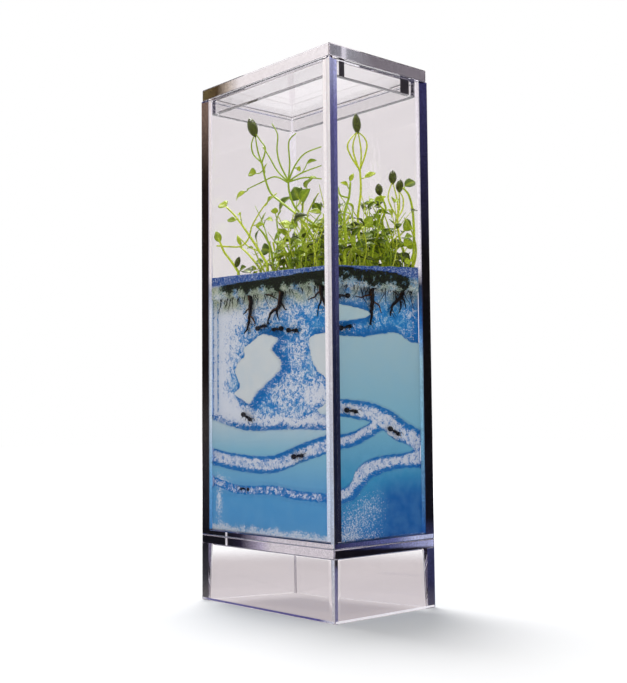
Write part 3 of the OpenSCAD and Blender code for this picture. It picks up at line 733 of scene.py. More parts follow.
BASE_RAMP = {  # colour of the undug gel by height
    "front": [(34, (76, 148, 203)), (52, (74, 150, 203)), (72, (128, 182, 205)), (95, (210, 216, 218)),
              (150, (214, 220, 220))],
    "side": [(34, (8, 112, 186)), (60, (50, 144, 190)), (86, (124, 180, 202)), (124, (162, 194, 204)),
             (150, (200, 214, 210))],
}
DEEP_BLUE = (0, 92, 165)


def gel_half(pane):
    return (GEL_W if faces_front(pane) else GEL_D) / 2


def gel_reach(pane):
    return (GEL_D if faces_front(pane) else GEL_W) / 2


def gel_columns():
    """Columns round the gel: pane, u, place, outward direction, and 1 at the middle of a corner."""
    columns = []
    for pane in range(4):
        half, reach = gel_half(pane), gel_reach(pane)
        turn = math.radians(90 * pane)
        count = round(2 * (half - GEL_R) / GEL_STEP)
        for i in range(count):
            u = -half + GEL_R + 2 * (half - GEL_R) * i / count
            columns.append((pane, u, turned(pane, u, reach), turned(pane, 0, 1), 0))
        centre = turned(pane, half - GEL_R, reach - GEL_R)
        for i in range(CORNER_PARTS):
            t = i / CORNER_PARTS
            angle = turn + (t - 1) * math.pi / 2
            way = (math.cos(angle), math.sin(angle))
            place = (centre[0] + GEL_R * way[0], centre[1] + GEL_R * way[1])
            here, u = (pane, half - GEL_R + 2 * GEL_R * t) if t <= 0.5 else \
                ((pane + 1) % 4, 2 * GEL_R * (t - 0.5) - reach)
            columns.append((here, u, place, way, 1 - abs(2 * t - 1)))
    return columns


def rounded_dip(inside, width, depth):
    return depth * np.sqrt(1 - (1 - np.clip(inside / width, 0, 1)) ** 2)


def wobble(u, z, pane, size, seed):
    return np.array([noise.noise((a / size + 17 * pane, b / size, seed)) for a, b in zip(u, z)])


def gel_depth(pane, u, z, corner, fields):
    """How deep the ants have dug at each place."""
    gallery, tunnel, faint = fields
    depth = np.maximum(rounded_dip(gallery, 2.6, GALLERY_DEPTH), rounded_dip(tunnel, 3.2, TUNNEL_DEPTH))
    depth = np.maximum(depth, rounded_dip(faint, 3.0, FAINT_DEPTH))
    rough = wobble(u, z, pane, 1.3, 5.0) * 0.45 + wobble(u, z, pane, 4.0, 2.0) * 0.5
    depth = np.maximum(0, depth + rough * np.clip(depth, 0, 1))
    depth = np.minimum(depth, GALLERY_DEPTH + (CORNER_DEPTH - GALLERY_DEPTH) * corner)
    return depth * step(GEL_TOP - z, 0, 2.5)


def in_crust(z):
    return z > GEL_TOP - CRUST_H - 1.5


def crumb_share(pane, u, z, white, fields):
    """How thick the white crumbs lie."""
    gallery, tunnel, faint = fields
    crumbs = 0.20 + white - 0.28 * patches(pane, u, z, BLUE_PATCHES)
    if pane == RIGHT:
        crumbs = 0.9 * crumbs - 0.22
    crumbs = np.where(tunnel > gallery, 0.06 + 0.46 * step(tunnel, 0.9, 2.4), crumbs)
    crumbs = np.where(faint > np.maximum(gallery, tunnel), 0.5 * step(faint, 0.6, 2.6), crumbs)
    return np.where(in_crust(z), 0.24 + white, crumbs)


def rim_blue_and_shade(pane, u, z, fields):
    """Where the dug face is a plain deep blue with fewer crumbs: along its edges, where the deeper blue is
    partly painted shade, and on one dark line.
    """
    gallery, tunnel, _ = fields
    rim = 1 - step(gallery + 1.8 * wobble(u, z, pane, 9.0, 11.0), 1.2, 4.4)
    rim = np.where(tunnel > gallery, 1 - step(tunnel, 0.7, 1.9), np.where(in_crust(z), 0.0, rim))
    if pane == FRONT:
        line = smooth_line(DARK_LINE, 6)
        to_line = ((u[:, None] - line[:, 0]) ** 2 + (z[:, None] - line[:, 1]) ** 2).min(axis=1)
        rim = np.maximum(rim, np.exp(-to_line))
    return rim


def mat_and_shade_share(pane, u, z):
    """Where the dark seed mat shows through the gel: ragged below, and lower where a root leaves it. A
    fainter darkening below it is painted shade under the mat.
    """
    low = MAT_BAND[0] + 3.4 * wobble(u, 0 * z, pane, 5.0, 7.0) + 1.6 * wobble(u, z, pane, 1.2, 8.0)
    top = MAT_BAND[1] + (1.4 * (1 - step(u, 6, 20)) if pane == RIGHT else 0)
    low += 0.9 if pane == RIGHT else 1.3
    if pane == FRONT:
        low -= np.interp(u, [-36, -10, 10, 46], [-0.6, 0.0, 0.6, 1.2])
    for where, line, _ in ROOTS:
        if where == pane:
            low -= 3.2 * np.exp(-((u - line[0][0]) / 2.6) ** 2)
    # the second, fainter step below the band is painted shade under the mat
    mat = np.maximum(step(z, low - 2.6, low + 1.4), 0.42 * step(z, low - 6.0, low - 1.0))
    mat *= 1 - step(z - top, 0, 0.5)
    if pane == FRONT:
        mat *= 0.25 + 0.75 * step(u + 3 * wobble(0 * u, z, pane, 2.0, 3.0), -38, -30)
    if pane == RIGHT:
        mat *= 1 - 0.7 * step(u + 3 * wobble(0 * u, z, pane, 1.5, 3.0), 16, 24)
        mat *= 1 - 0.45 * step(wobble(u, z, pane, 2.4, 4.0), 0.0, 0.5)
    return mat


def gel_facts(pane, u, z, fields):
    """What the gel's material has to know at each place."""
    gallery, tunnel, faint = fields
    white = patches(pane, u, z, WHITE_PATCHES)
    dug = np.maximum(gallery, tunnel)
    dug = np.where(in_crust(z), np.maximum(dug, 2.5), np.maximum(dug, faint - 1.2))
    # a green-grey zone in the dug gel, from z 137 up to just below the mat
    under_mat_green = step(z, 137, 146) * (1 - step(z, 152.5, 153.5)) * (1.0 if pane == FRONT else 0.6)
    under_mat_green = np.clip(under_mat_green * (0.85 + 0.9 * wobble(u, z, pane, 5, 4.0)), 0, 0.92)
    sediment = 1 - step(z + 1.6 * wobble(u, z, pane, 4, 6.0), 35.2, 39.2)
    sediment *= 0.9 if pane == FRONT else 0.35 * (1 - step(u, -6, 4))
    return {"dug": dug, "rim": rim_blue_and_shade(pane, u, z, fields), "under_mat_green": under_mat_green, "mat": mat_and_shade_share(pane, u, z),
            "crumbs": crumb_share(pane, u, z, white, fields), "lip": step(z, 152.9, 153.7),
            "dust": np.where(z < 66, white, 0) + 0.75 * sediment}


def undug_colour(pane, u, z):
    colour = tint_at(BASE_RAMP["front" if faces_front(pane) else "side"], z)
    if pane == RIGHT:
        deep = step(u, -12, 8) * (1 - step(z, 50, 66))
    elif pane == FRONT:
        deep = 0.8 * step(-u, 41.5, 43) * step(z, 36, 42) * (1 - step(z, 60, 68))
    else:
        deep = 0.25 * (1 - step(z, 40, 60))
    return colour + (np.array(srgb(*DEEP_BLUE)) - colour) * deep[:, None]


def add_gel(material):
    """The gel: its dug faces as rows of points from the floor up, then the lip's top and the inside."""
    panes, along, place, way, corner = (np.array(fact) for fact in zip(*gel_columns()))
    count = len(panes)
    rows = round((GEL_TOP + LIP_H - GEL_Z) / GEL_STEP) + 1
    share = np.linspace(0, 1, rows)[:, None]
    points, tones, facts = np.zeros((rows, count, 3)), np.zeros((rows, count, 3)), {}
    for pane in range(4):
        mine = np.where(panes == pane)[0]
        shape = (rows, len(mine))
        u = along[mine]
        top = np.interp(u, [-gel_half(pane), gel_half(pane)], LIP_LINE[pane])
        top = top + 0.35 * wobble(u, 0 * u, pane, 5, 3.0)
        z = (GEL_Z + share * (top - GEL_Z)).ravel()
        u = np.broadcast_to(u, shape).ravel()
        near = np.broadcast_to(corner[mine], shape).ravel()
        shifted = np.stack([u + 0.5 * wobble(u, z, pane, 2.2, 0.0),
                            z + 0.5 * wobble(u, z, pane, 2.2, 9.0)], axis=1)
        fields = dig_field(pane, shifted)
        depth = gel_depth(pane, u, z, near, fields).reshape(shape)[:, :, None]
        points[:, mine] = np.concatenate([place[mine] - depth * way[mine], z.reshape(*shape, 1)], axis=2)
        tones[:, mine] = undug_colour(pane, u, z).reshape(*shape, 3)
        for name, value in gel_facts(pane, u, z, fields).items():
            facts.setdefault(name, np.zeros((rows, count)))[:, mine] = value.reshape(shape)

    def inner_ring(inset, z):
        return np.column_stack([place - way * inset, np.broadcast_to(z, count)])
    rim = points[-1, :, 2]
    points[0, :, 2] = GEL_Z + 0.4
    inside = [inner_ring(inset, z) for inset, z in (
        (0.25, rim + 0.25), (0.7, rim + 0.3), (1.05, rim - 0.1), (LIP_T, rim - 0.8),
        (LIP_T + 0.05, GEL_TOP + 0.6), (LIP_T + 0.7, GEL_TOP))]
    rings = [inner_ring(0.5, GEL_Z), *points, *inside]
    gel = add_object("blue_gel", np.concatenate(rings).tolist(), solid_faces(len(rings), count), "tank",
                     material, ["gel_block"])

    def all_rings(grid):
        return np.concatenate([grid[:1], grid] + [grid[-1:]] * len(inside))
    for name, grid in facts.items():
        values = all_rings(grid)
        if name == "dug":
            values[-len(inside):] = -9
        gel.data.attributes.new(name, "FLOAT", "POINT").data.foreach_set(
            "value", values.ravel().astype(np.float32))
    write_tones(gel, all_rings(tones).reshape(-1, 3))


def gel_material():
    """Blue gel: smooth where it meets the pane, crumbly and speckled where the ants have dug."""
    material, n = new_material("blue_gel")
    place = n.place_mm()
    fine = n.noise(place, 1.7, 5.0, 0.7, 0.5)
    middle = n.noise(place, 0.42, 3.0, 0.6, 0.8)
    broad = n.noise(place, 0.16, 3.0, 0.55)
    dug = n.attribute("dug")
    lip = n.attribute("lip")

    def crumbs(share, low, soft):
        limit = n.math("SUBTRACT", low, n.math("MULTIPLY", share, 0.34))
        return n.math("DIVIDE", n.math("SUBTRACT", fine, limit), soft, clamp=True)
    tone = n.attribute("tone", "Color")
    tone = n.mix(n.ramp(broad, 0.35, 0.65, 0.0, 0.12), tone, srgb(120, 180, 215))
    dust_white = crumbs(n.attribute("dust"), 0.635, 0.07)
    smooth_gel = n.mix(n.math("MULTIPLY", dust_white, n.ramp(n.attribute("dust"), 0.02, 0.12)), tone,
                       srgb(206, 216, 228))
    dig_blue = n.mix(n.ramp(middle, 0.4, 0.62), srgb(22, 130, 204), srgb(88, 170, 218))
    dig_blue = n.mix(n.ramp(fine, 0.36, 0.5, 0.5, 0.0), dig_blue, srgb(8, 96, 172))
    # rim: a deeper blue along the dug face's edges, partly painted shade
    rim = n.attribute("rim")
    dig_blue = n.mix(n.math("MULTIPLY", rim, 0.85), dig_blue, srgb(0, 112, 188))
    share = n.math("SUBTRACT", n.attribute("crumbs"), n.math("MULTIPLY", rim, 0.3))
    share = n.math("ADD", share, n.ramp(middle, 0.34, 0.66, -0.12, 0.4))
    white = n.mix(n.noise(place, 3.1, 2.0), srgb(206, 218, 232), srgb(242, 240, 244))
    dug_gel = n.mix(crumbs(share, 0.6, 0.11), dig_blue, white)
    under_mat_colour = n.mix(n.ramp(fine, 0.36, 0.62), srgb(112, 138, 88), srgb(214, 216, 196))
    dug_gel = n.mix(n.attribute("under_mat_green"), dug_gel, under_mat_colour)
    colour = n.mix(n.ramp(dug, -0.2, 0.2), smooth_gel, dug_gel)
    lip_blue = n.mix(n.ramp(fine, 0.5, 0.62), srgb(24, 66, 144), srgb(196, 212, 234))
    lip_blue = n.mix(n.ramp(middle, 0.4, 0.6, 0, 0.35), lip_blue, srgb(50, 104, 180))
    colour = n.mix(lip, colour, lip_blue)
    # seed colours: the mat seen through the gel, and the painted shade below it
    seeds = n.mix(n.ramp(n.noise(place, 1.9, 3.0), 0.45, 0.66), srgb(6, 9, 3), srgb(44, 58, 18))
    ragged = n.math("ADD", n.attribute("mat"), n.math("MULTIPLY", n.math("SUBTRACT", fine, 0.5), 2.8))
    colour = n.mix(n.math("MULTIPLY", n.ramp(ragged, 0.42, 0.58), n.ramp(n.attribute("mat"), 0.05, 0.2)),
                   colour, seeds)
    height = n.math("ADD", n.math("MULTIPLY", fine, n.ramp(dug, -0.2, 0.6)), n.math("MULTIPLY", broad, 0.3))
    n.surface({"Base Color": colour, "Roughness": n.ramp(dug, -0.2, 0.4, 0.32, 0.6), "IOR": 1.34,
               "Normal": n.bump(height, 0.5, 0.0006)})
    return material


# ---------------------------------------------------------------- things that grow and crawl


class Growth:
    """Collects closed shapes, in mm, with a colour for every point."""

    def __init__(self):
        self.points, self.faces, self.tones = [], [], []

    def add(self, points, faces, tones):
        first = len(self.points)
        self.points += [tuple(p) for p in points]
        self.faces += [tuple(first + i for i in face) for face in faces]
        self.tones += tones

    def tube(self, line, radii, tone, sides=8, ribs=0.0):
        """A round shape along a line; its radius goes through the list of radii. tone may be a function."""
        line = [Vector(p) for p in line]
        count = len(line)
        radius = np.interp(np.linspace(0, 1, count), np.linspace(0, 1, len(radii)), radii).tolist()
        points, tones = [], []
        normal = None
        for i, here in enumerate(line):
            along = (line[min(i + 1, count - 1)] - line[max(i - 1, 0)]).normalized()
            if normal is None:
                normal = along.orthogonal()
            normal = (normal - along * normal.dot(along)).normalized()
            side = along.cross(normal)
            for k in range(sides):
                a = 2 * math.pi * k / sides
                r = radius[i] * (1 + ribs * math.cos(sides / 2 * a))
                points.append(here + r * (math.cos(a) * normal + math.sin(a) * side))
                tones.append(tone(i / (count - 1), k) if callable(tone) else tone)
        self.add(points, solid_faces(count, sides), tones)

    def blade(self, base, tip, width, normal, tone, rib_tone, fold=0.35, arch=0.08, droop=0.05, thick=0.16):
        """A pointed leaf: folded along its midrib, arched, and drooping at its tip."""
        base, tip = Vector(base), Vector(tip)
        length = (tip - base).length
        along = (tip - base) / length
        out = along.cross(normal).normalized()
        up = out.cross(along)
        rows, columns = 9, 6
        points, tones, index = [], [], {}
        for side in (0, 1):
            for i in range(rows + 1):
                t = i / rows
                half = max(0.05, width / 2 * math.sin(math.pi * t ** 0.78) ** 0.85)
                for j in range(columns + 1):
                    v = 2 * j / columns - 1
                    edge = i in (0, rows) or j in (0, columns)
                    if side and edge:
                        index[1, i, j] = index[0, i, j]
                        continue
                    lift = arch * length * math.sin(math.pi * t) - droop * length * t * t \
                        + fold * abs(v) * half + 0.05 * half * math.sin(9 * t + 3 * v)
                    index[side, i, j] = len(points)
                    points.append(base + along * t * length + out * v * half + up * (lift - side * thick))
                    near = max(0.0, 1 - abs(v) * 3.2) * (1 - 0.6 * t)
                    tones.append(shade(blend(tone, rib_tone, near), 1 - 0.18 * abs(v)))
        faces = []
        for i in range(rows):
            for j in range(columns):
                ring = [(i, j), (i, j + 1), (i + 1, j + 1), (i + 1, j)]
                faces.append(tuple(index[0, a, b] for a, b in ring))
                faces.append(tuple(index[1, a, b] for a, b in reversed(ring)))
        self.add(points, faces, tones)

    def make(self, name, slot, material, nodes=()):
        write_tones(add_object(name, self.points, self.faces, "tank", material, nodes), self.tones)


def growth_material(name, rough, specular, speckle, bump=0.2, painted_glow=0.0):
    """A living surface: its points' own colours, mottled and a little uneven, with a painted glow where one
    is given.
    """
    material, n = new_material(name)
    place = n.place_mm()
    fine = n.noise(place, 1.6, 3.0)
    tone = n.attribute("tone", "Color")
    tone = n.mix(n.ramp(fine, 0.4, 0.66, 0.0, 0.75), tone, speckle)
    # the emission in the surface's own colour is a painted glow, which no lamp gives
    n.surface({"Base Color": tone, "Roughness": n.ramp(fine, 0.3, 0.7, rough - 0.08, rough + 0.1),
               "Specular IOR Level": specular, "Normal": n.bump(n.noise(place, 3.0, 3.0), bump, 0.0004),
               "Emission Color": tone, "Emission Strength": painted_glow})
    return material


def behind_pane(pane, p, depth):
    """A place in the gel, depth behind its face."""
    return Vector((*turned(pane, p[0], gel_reach(pane) - depth), p[1]))


DRAWN_AT = Vector((398, -355, 88))  # where the tower is seen from when its sprouts are drawn


def stand_back(pane, set_back, p):
    """A point of a pane, moved back along the line of sight until it is set_back behind the pane."""
    q = Vector((*turned(pane, p[0], gel_reach(pane) + GEL_GAP), p[1]))
    way = q - DRAWN_AT
    return q + way * set_back / way.dot(inward(pane))


# Each sprout: pane, set_back, stems, leaves as [stalk start, blade start, tip, width], and seed heads
SPROUTS = {
    "lantern_sprout_1": [FRONT, 17,
        [[[37, 163], [33, 170], [25, 179], [12, 188], [5, 193], [1, 200], [-2, 210]],
         [[-2.4, 209.4], [-8, 214], [-9.5, 219], [-7.2, 223.2]],
         [[-2.1, 208.7], [-5, 216], [-6.6, 222.8]],
         [[-1.6, 209.2], [1, 215], [-3, 220], [-6, 223.4]]],
        [[[-1, 205], [-6, 204.5], [-12, 205.5], 4.5], [[0, 203], [0.5, 204], [2, 208], 2.6],
         [[25, 179], [27, 183], [30, 188], 4], [[33, 170], [30, 171], [24, 172], 5]],
        [[[-6.3, 222], [-10.5, 231.5], 6.6]]],
    "spider_sprout": [FRONT, 14,
        [[[41, 165], [38, 172], [31, 177], [22, 184], [18, 192], [17.5, 197]],
         [[17.2, 197.3], [11.5, 206], [9.5, 213], [10, 220], [6, 226]],
         [[17, 196.8], [9.4, 203.2], [4, 210.4], [-1, 216.5]],
         [[17.6, 197.6], [18.5, 205], [18, 215], [23, 218]],
         [[17.9, 197.2], [22, 203], [29, 207.5], [40, 208.5]],
         [[18.1, 196.8], [27, 199], [40, 200]],
         [[17.8, 196.4], [29, 196.5], [40, 194]],
         [[17.1, 196.2], [8, 200.5], [-2, 199.5], [-13, 198]]],
        [[[-12, 198], [-14, 197], [-22.5, 194], 3.2], [[21.5, 202.2], [24.5, 202.4], [25.8, 199.9], 2.2],
         [[27, 199], [30, 202.5], [37, 203], 2.6], [[22, 184], [26, 186], [32, 191], 6]],
        []],
    "runner_sprout": [FRONT, 3,
        [[[-20, 158.5], [-24, 163], [-31, 169.5], [-34, 174], [-36, 177]],
         [[-37, 173.5], [-28, 172], [-18, 171], [-12, 174], [-9, 180], [0, 188], [9, 192.5]]],
        [[[-35, 175.5], [-34.5, 175], [-38, 181], 3.6], [[-9, 180], [-6, 180], [-1, 179], 3],
         [[0, 188], [2, 188.5], [7, 191.5], 3.4], [[-20.6, 159.2], [-18.8, 159.2], [-14.4, 160.8], 3.6]],
        [[[-22, 161], [-19.5, 165.5], 3.6]]],
    "left_sprout": [FRONT, 5.6,
        [[[2, 160], [-4, 167], [-13, 177], [-22, 186], [-29, 191.5]],
         [[-4, 167], [-12, 170], [-20, 176]]],
        [[[-29, 191.5], [-29.5, 192], [-35, 194.5], 5.4], [[-21, 185], [-22, 184], [-29, 185.5], 3.2],
         [[-17, 181], [-18, 186], [-20, 187.5], 1.8], [[-5, 168.1], [-6, 172], [-4, 177.5], 2.8]],
        []],
    "dark_leaf_sprout": [FRONT, 22,
        [[[6, 160], [4, 168], [-1, 175], [-6, 179]],
         [[6, 160], [10, 170], [9, 180], [12, 184]]],
        [[[-5, 178.5], [-3, 179.5], [1, 185], 5.5], [[-1, 178], [0, 181], [6, 180], 4],
         [[10, 183], [11, 183.5], [19, 189.5], 6], [[9, 181], [8, 183], [8, 186], 4]],
        []],
    "broadleaf_sprout": [FRONT, 26,
        [[[30, 160], [27, 170], [27, 182], [29, 190]],
         [[27, 175], [33, 183], [38, 188]]],
        [[[27, 184], [25, 187], [21, 193.5], 8], [[28.6, 189.4], [30, 191.5], [36, 196], 7.6],
         [[38, 188], [38, 188], [34, 183], 6], [[27, 172], [24, 175], [18, 177], 5],
         [[33, 183], [35, 184], [39, 179], 4.5]],
        []],
    "low_sprout_1": [FRONT, 30,
        [[[10, 158], [8, 164], [6, 170]], [[8, 164], [13, 170], [19, 174]]],
        [[[8, 163], [4, 166], [-3, 168], 6], [[6, 168.5], [7, 170], [13.5, 174.5], 4],
         [[19, 174], [18.6, 175], [12, 178.5], 3.4], [[12, 168], [14, 168], [20, 169], 4]],
        []],
    "low_sprout_2": [FRONT, 10,
        [[[-3, 158], [-6, 161], [-13, 167], [-19, 171]], [[-3, 158], [1, 161], [6, 163]]],
        [[[-4, 159], [-6, 158.5], [-13, 159.5], 3], [[0, 160.5], [-1, 161], [-8, 162], 3.6],
         [[5, 162.5], [6, 161], [13, 163.5], 4], [[-17, 170], [-17.5, 171], [-21, 177], 2]],
        []],
    "low_sprout_3": [FRONT, 34,
        [[[33, 158], [35, 165], [39, 171]], [[34, 162], [29, 167], [26, 170]]],
        [[[36, 166], [37, 166], [40.5, 163], 4.5], [[39, 171], [38, 171], [34, 172.5], 3.4],
         [[26, 170], [26, 170], [22, 165], 5], [[33, 160], [36, 160], [40.5, 158.5], 3.4]],
        []],
    "lantern_sprout_2": [RIGHT, 9,
        [[[-12, 160], [-13, 168], [-13.5, 178], [-11.5, 190], [-12, 200.5]],
         [[-12.4, 200], [-17, 204.5], [-19.5, 209], [-17.5, 213], [-13.6, 216.6]],
         [[-12.2, 199.2], [-15.5, 206], [-16, 211], [-13.3, 217.1]],
         [[-11.6, 200.2], [-8.5, 207], [-7.3, 212], [-9, 215], [-12.6, 216.8]],
         [[-11.8, 199.4], [-11, 208], [-12.9, 217.5]]],
        [[[-12, 196], [-9, 196.5], [-1.5, 200], 2.6], [[-13, 172], [-10, 174], [-4, 179], 4.5],
         [[-13.4, 178], [-16, 180], [-20, 184], 3.4], [[-13, 168], [-9, 167], [-3, 165.5], 3]],
        [[[-13.2, 216], [-14, 224.2], 5.2]]],
    "corner_sprout": [RIGHT, 4,
        [[[-22, 160], [-21, 168], [-22, 178], [-19, 186], [-18, 193]],
         [[-19, 186], [-24, 186.5], [-25.5, 190]]],
        [[[-18.6, 189.6], [-19.2, 190.8], [-24, 192.3], 2.8], [[-18, 193], [-18.3, 193.5], [-16, 197.5], 2],
         [[-21.5, 171.5], [-23.6, 173.5], [-26, 178.5], 2.4], [[-21, 166], [-19, 166], [-15, 169.5], 3.2]],
        []],
    "round_head_sprout": [RIGHT, 16,
        [[[5, 160], [4, 170], [2, 178], [4.5, 184], [1, 190]],
         [[4, 183], [-3, 186], [-8, 185]]],
        [[[3, 175], [0, 177], [-4, 180.5], 4], [[4, 170], [1, 169.5], [-5, 172], 4.5],
         [[4.2, 183], [6, 184], [8.5, 180], 3], [[-3, 186], [-3, 186], [-7, 183.5], 2.6]],
        [[[0.6, 189.5], [-0.2, 194.5], 4.8]]],
    "twin_head_sprout": [RIGHT, 6,
        [[[17, 163], [14, 169], [12.3, 175], [12, 181]],
         [[11.8, 181.2], [8, 185], [6, 190], [8.6, 196.5]],
         [[12.3, 181.3], [12.2, 188], [9.4, 196.5]],
         [[12.2, 180.6], [15.5, 185], [16, 190], [13.8, 193]],
         [[11.7, 180.4], [13.5, 186], [13.3, 193]]],
        [[[13, 172], [16, 175], [19, 181], 6], [[16, 165], [18, 167], [21, 171], 5],
         [[12.2, 177], [10, 177], [6.5, 179.5], 3.6], [[17, 163], [14, 162], [8, 163], 3.6]],
        [[[9, 195.8], [9.3, 202], 5], [[13.4, 192.6], [14.2, 198.4], 4.8]]],
    "tall_leaf_sprout": [RIGHT, 2.6,
        [[[22, 160], [23, 170], [22.5, 184], [20, 192], [16, 195]]],
        [[[16.5, 194.8], [17, 196], [24.6, 199.5], 4.4], [[22.7, 176], [21, 177.6], [18.6, 181], 2.4],
         [[23, 168.5], [20.4, 170.8], [16.4, 167.4], 4.6], [[22.2, 161], [20, 161.5], [16, 159.5], 3.2]],
        []],
}

LIME = srgb(196, 212, 50)
STEM_GREENS = [srgb(206, 218, 44), srgb(186, 206, 38), srgb(222, 230, 84), srgb(160, 186, 34)]
LEAF_GREENS = [srgb(162, 184, 28), srgb(132, 160, 24), srgb(190, 208, 44),
               srgb(84, 108, 20), srgb(36, 44, 12)]
DARK_GREEN = srgb(34, 30, 10)
HEAD_GREEN = srgb(62, 62, 18)
STEM_R = 0.65
STALK_R = 0.35
LEAF_SWELL = 1.08  # width of a leaf, as a share of the drawn one
HEAD_SLIM = 0.74  # the same for a seed head
HEAD_REACH = 0.12  # what a seed head adds to its drawn length
UP = Vector((0, 0, 1))


def heading(turn, rise=0.0):
    return Vector((math.cos(turn), math.sin(turn), rise))


def leaf_turn(normal, along, angle):
    """The normal, turned about a leaf's length."""
    along = along.normalized()
    flat = (normal - along * normal.dot(along)).normalized()
    return Matrix.Rotation(angle, 3, along) @ flat


def add_sprout(name, plan, dice, material):
    """One plant: a foot on the mat, its stems, its leaves on stalks, and its seed heads."""
    pane, set_back, stems, leaves, heads = plan
    g = Growth()

    def place(p):
        return stand_back(pane, set_back, p)
    stem_tone = dice.choice(STEM_GREENS)
    first = [Vector(p) for p in smooth_line([place(p) for p in stems[0]], 5)]
    foot = Vector((first[0].x, first[0].y, MAT_TOP + 0.1))
    line = [foot, foot + (first[0] - foot) / 2] + first

    def stem_colour(t, _):
        return blend(shade(LIME, 1.1), stem_tone, min(1, 1.6 * t))

    def head_colour(t, k):
        return blend(HEAD_GREEN, DARK_GREEN, 0.5 * t + 0.3 * (k % 2))
    g.tube(line, [STEM_R * 1.15, STEM_R, STEM_R * 0.85, STEM_R * 0.7], stem_colour, 10)
    for stem in stems[1:]:
        g.tube(smooth_line([place(p) for p in stem], 5), [STALK_R * 1.25, STALK_R * 1.1, STALK_R * 0.8],
               stem_tone, 8)
    for start, base, tip, width in leaves:
        start, base, tip = place(start), place(base), place(tip)
        along = tip - base
        if (base - start).length > 0.3:
            sag = 0.12 * (base - start).length * UP
            g.tube(smooth_line([start, (start + base) / 2 - sag, base + 0.5 * along.normalized()], 3),
                   [STALK_R * 0.9, STALK_R * 0.7], stem_tone, 6)
        tone = dice.choice(LEAF_GREENS[:4])
        face = leaf_turn(0.7 * UP - inward(pane), along, dice.uniform(-0.5, 0.5))
        g.blade(base, tip, width * LEAF_SWELL, face, tone, shade(LIME, 0.8), dice.uniform(0.1, 0.45),
                dice.uniform(0.02, 0.12), dice.uniform(0, 0.1))
    for base, tip, width in heads:
        base, tip = place(base), place(tip)
        tip += HEAD_REACH * (tip - base)
        radii = [width * HEAD_SLIM * part for part in (0.3, 0.44, 0.49, 0.48, 0.42, 0.28)]
        g.tube([base + (tip - base) * t / 14 for t in range(15)], [0.3, *radii, 0.1], head_colour, 12, 0.06)
    g.make(name + "_grown", "sprout", material, [name])


UNDERGROWTH = [  # where the thick low growth stands: x, y, spread in x, spread in y, stems, tallest
    (22, -8, 17, 15, 40, 34), (28, 14, 13, 11, 32, 42), (6, -14, 14, 9, 20, 22),
    (33, 2, 8, 20, 38, 34), (36, -20, 5, 5, 12, 28), (10, 10, 14, 12, 18, 24), (-12, -12, 9, 9, 6, 10),
    (0, -4, 8, 10, 14, 32),
]


def inside_tank(p, clear=1.2):
    return Vector((max(-IN_W / 2 + clear, min(IN_W / 2 - clear, p[0])),
                   max(-IN_D / 2 + clear, min(IN_D / 2 - clear, p[1])), p[2]))


def add_undergrowth(material):
    """Thick low growth between the named sprouts."""
    dice = random.Random(7)
    g = Growth()
    for x, y, spread_x, spread_y, count, tallest in UNDERGROWTH:
        for _ in range(count):
            foot = Vector((x + dice.uniform(-spread_x, spread_x), y + dice.uniform(-spread_y, spread_y),
                           MAT_TOP - 0.2))
            foot.x = max(MAT_LOW[0] + 1.5, min(MAT_HIGH[0] - 1.5, foot.x))
            foot.y = max(MAT_LOW[1] + 1.5, min(MAT_HIGH[1] - 1.5, foot.y))
            height = tallest * dice.uniform(0.3, 1.0)
            lean = Vector((dice.uniform(-1, 1), dice.uniform(-1, 1), 0)) * height * 0.55
            bend = Vector((dice.uniform(-1, 1), dice.uniform(-1, 1), 0)) * height * 0.16
            stem = [inside_tank(foot + lean * t * t + bend * math.sin(3.3 * t) + height * t * UP)
                    for t in (0, 0.25, 0.5, 0.75, 1.0)]
            line = [Vector(p) for p in smooth_line(stem, 3)]
            thin = dice.uniform(0.18, 0.48)
            tone = shade(dice.choice(STEM_GREENS), dice.uniform(0.75, 1.1))
            g.tube(line, [thin * 1.2, thin, thin * 0.6], tone, 6)
            for _ in range(dice.choice((1, 2, 3, 3))):
                at = line[dice.randrange(3, len(line))]
                way = heading(dice.uniform(0, 2 * math.pi), dice.uniform(-0.2, 0.9)).normalized()
                size = dice.uniform(3.4, 8.6)
                tip = inside_tank(at + way * size)
                if (tip - at).length < 2:
                    continue
                face = leaf_turn(Vector((0.35, -0.35, 0.8)), tip - at, dice.uniform(-0.6, 0.6))
                tone = shade(dice.choice(LEAF_GREENS + LEAF_GREENS[3:]), dice.uniform(0.65, 1.15))
                g.blade(at, tip, size * dice.uniform(0.5, 0.86), face, tone, shade(LIME, 0.7),
                        dice.uniform(0.05, 0.5), dice.uniform(0.0, 0.16), dice.uniform(0, 0.2))
    for _ in range(24):  # long thin stalks that cross the clump at a slant
        foot = Vector((dice.uniform(-14, 38), dice.uniform(-20, 20), MAT_TOP - 0.2))
        reach = Vector((dice.uniform(-16, 16), dice.uniform(-14, 14), dice.uniform(14, 44)))
        sway = Vector((dice.uniform(-3, 3), dice.uniform(-3, 3), dice.uniform(0, 5)))
        middle = foot + reach * 0.55 + sway
        line = [inside_tank(p) for p in smooth_line([foot, middle, foot + reach], 5)]
        g.tube(line, [0.3, 0.26, 0.14], shade(dice.choice(STEM_GREENS), dice.uniform(0.8, 1.15)), 6)
    g.make("undergrowth", "sprout", material)


# ---------------------------------------------------------------- seed mat and roots

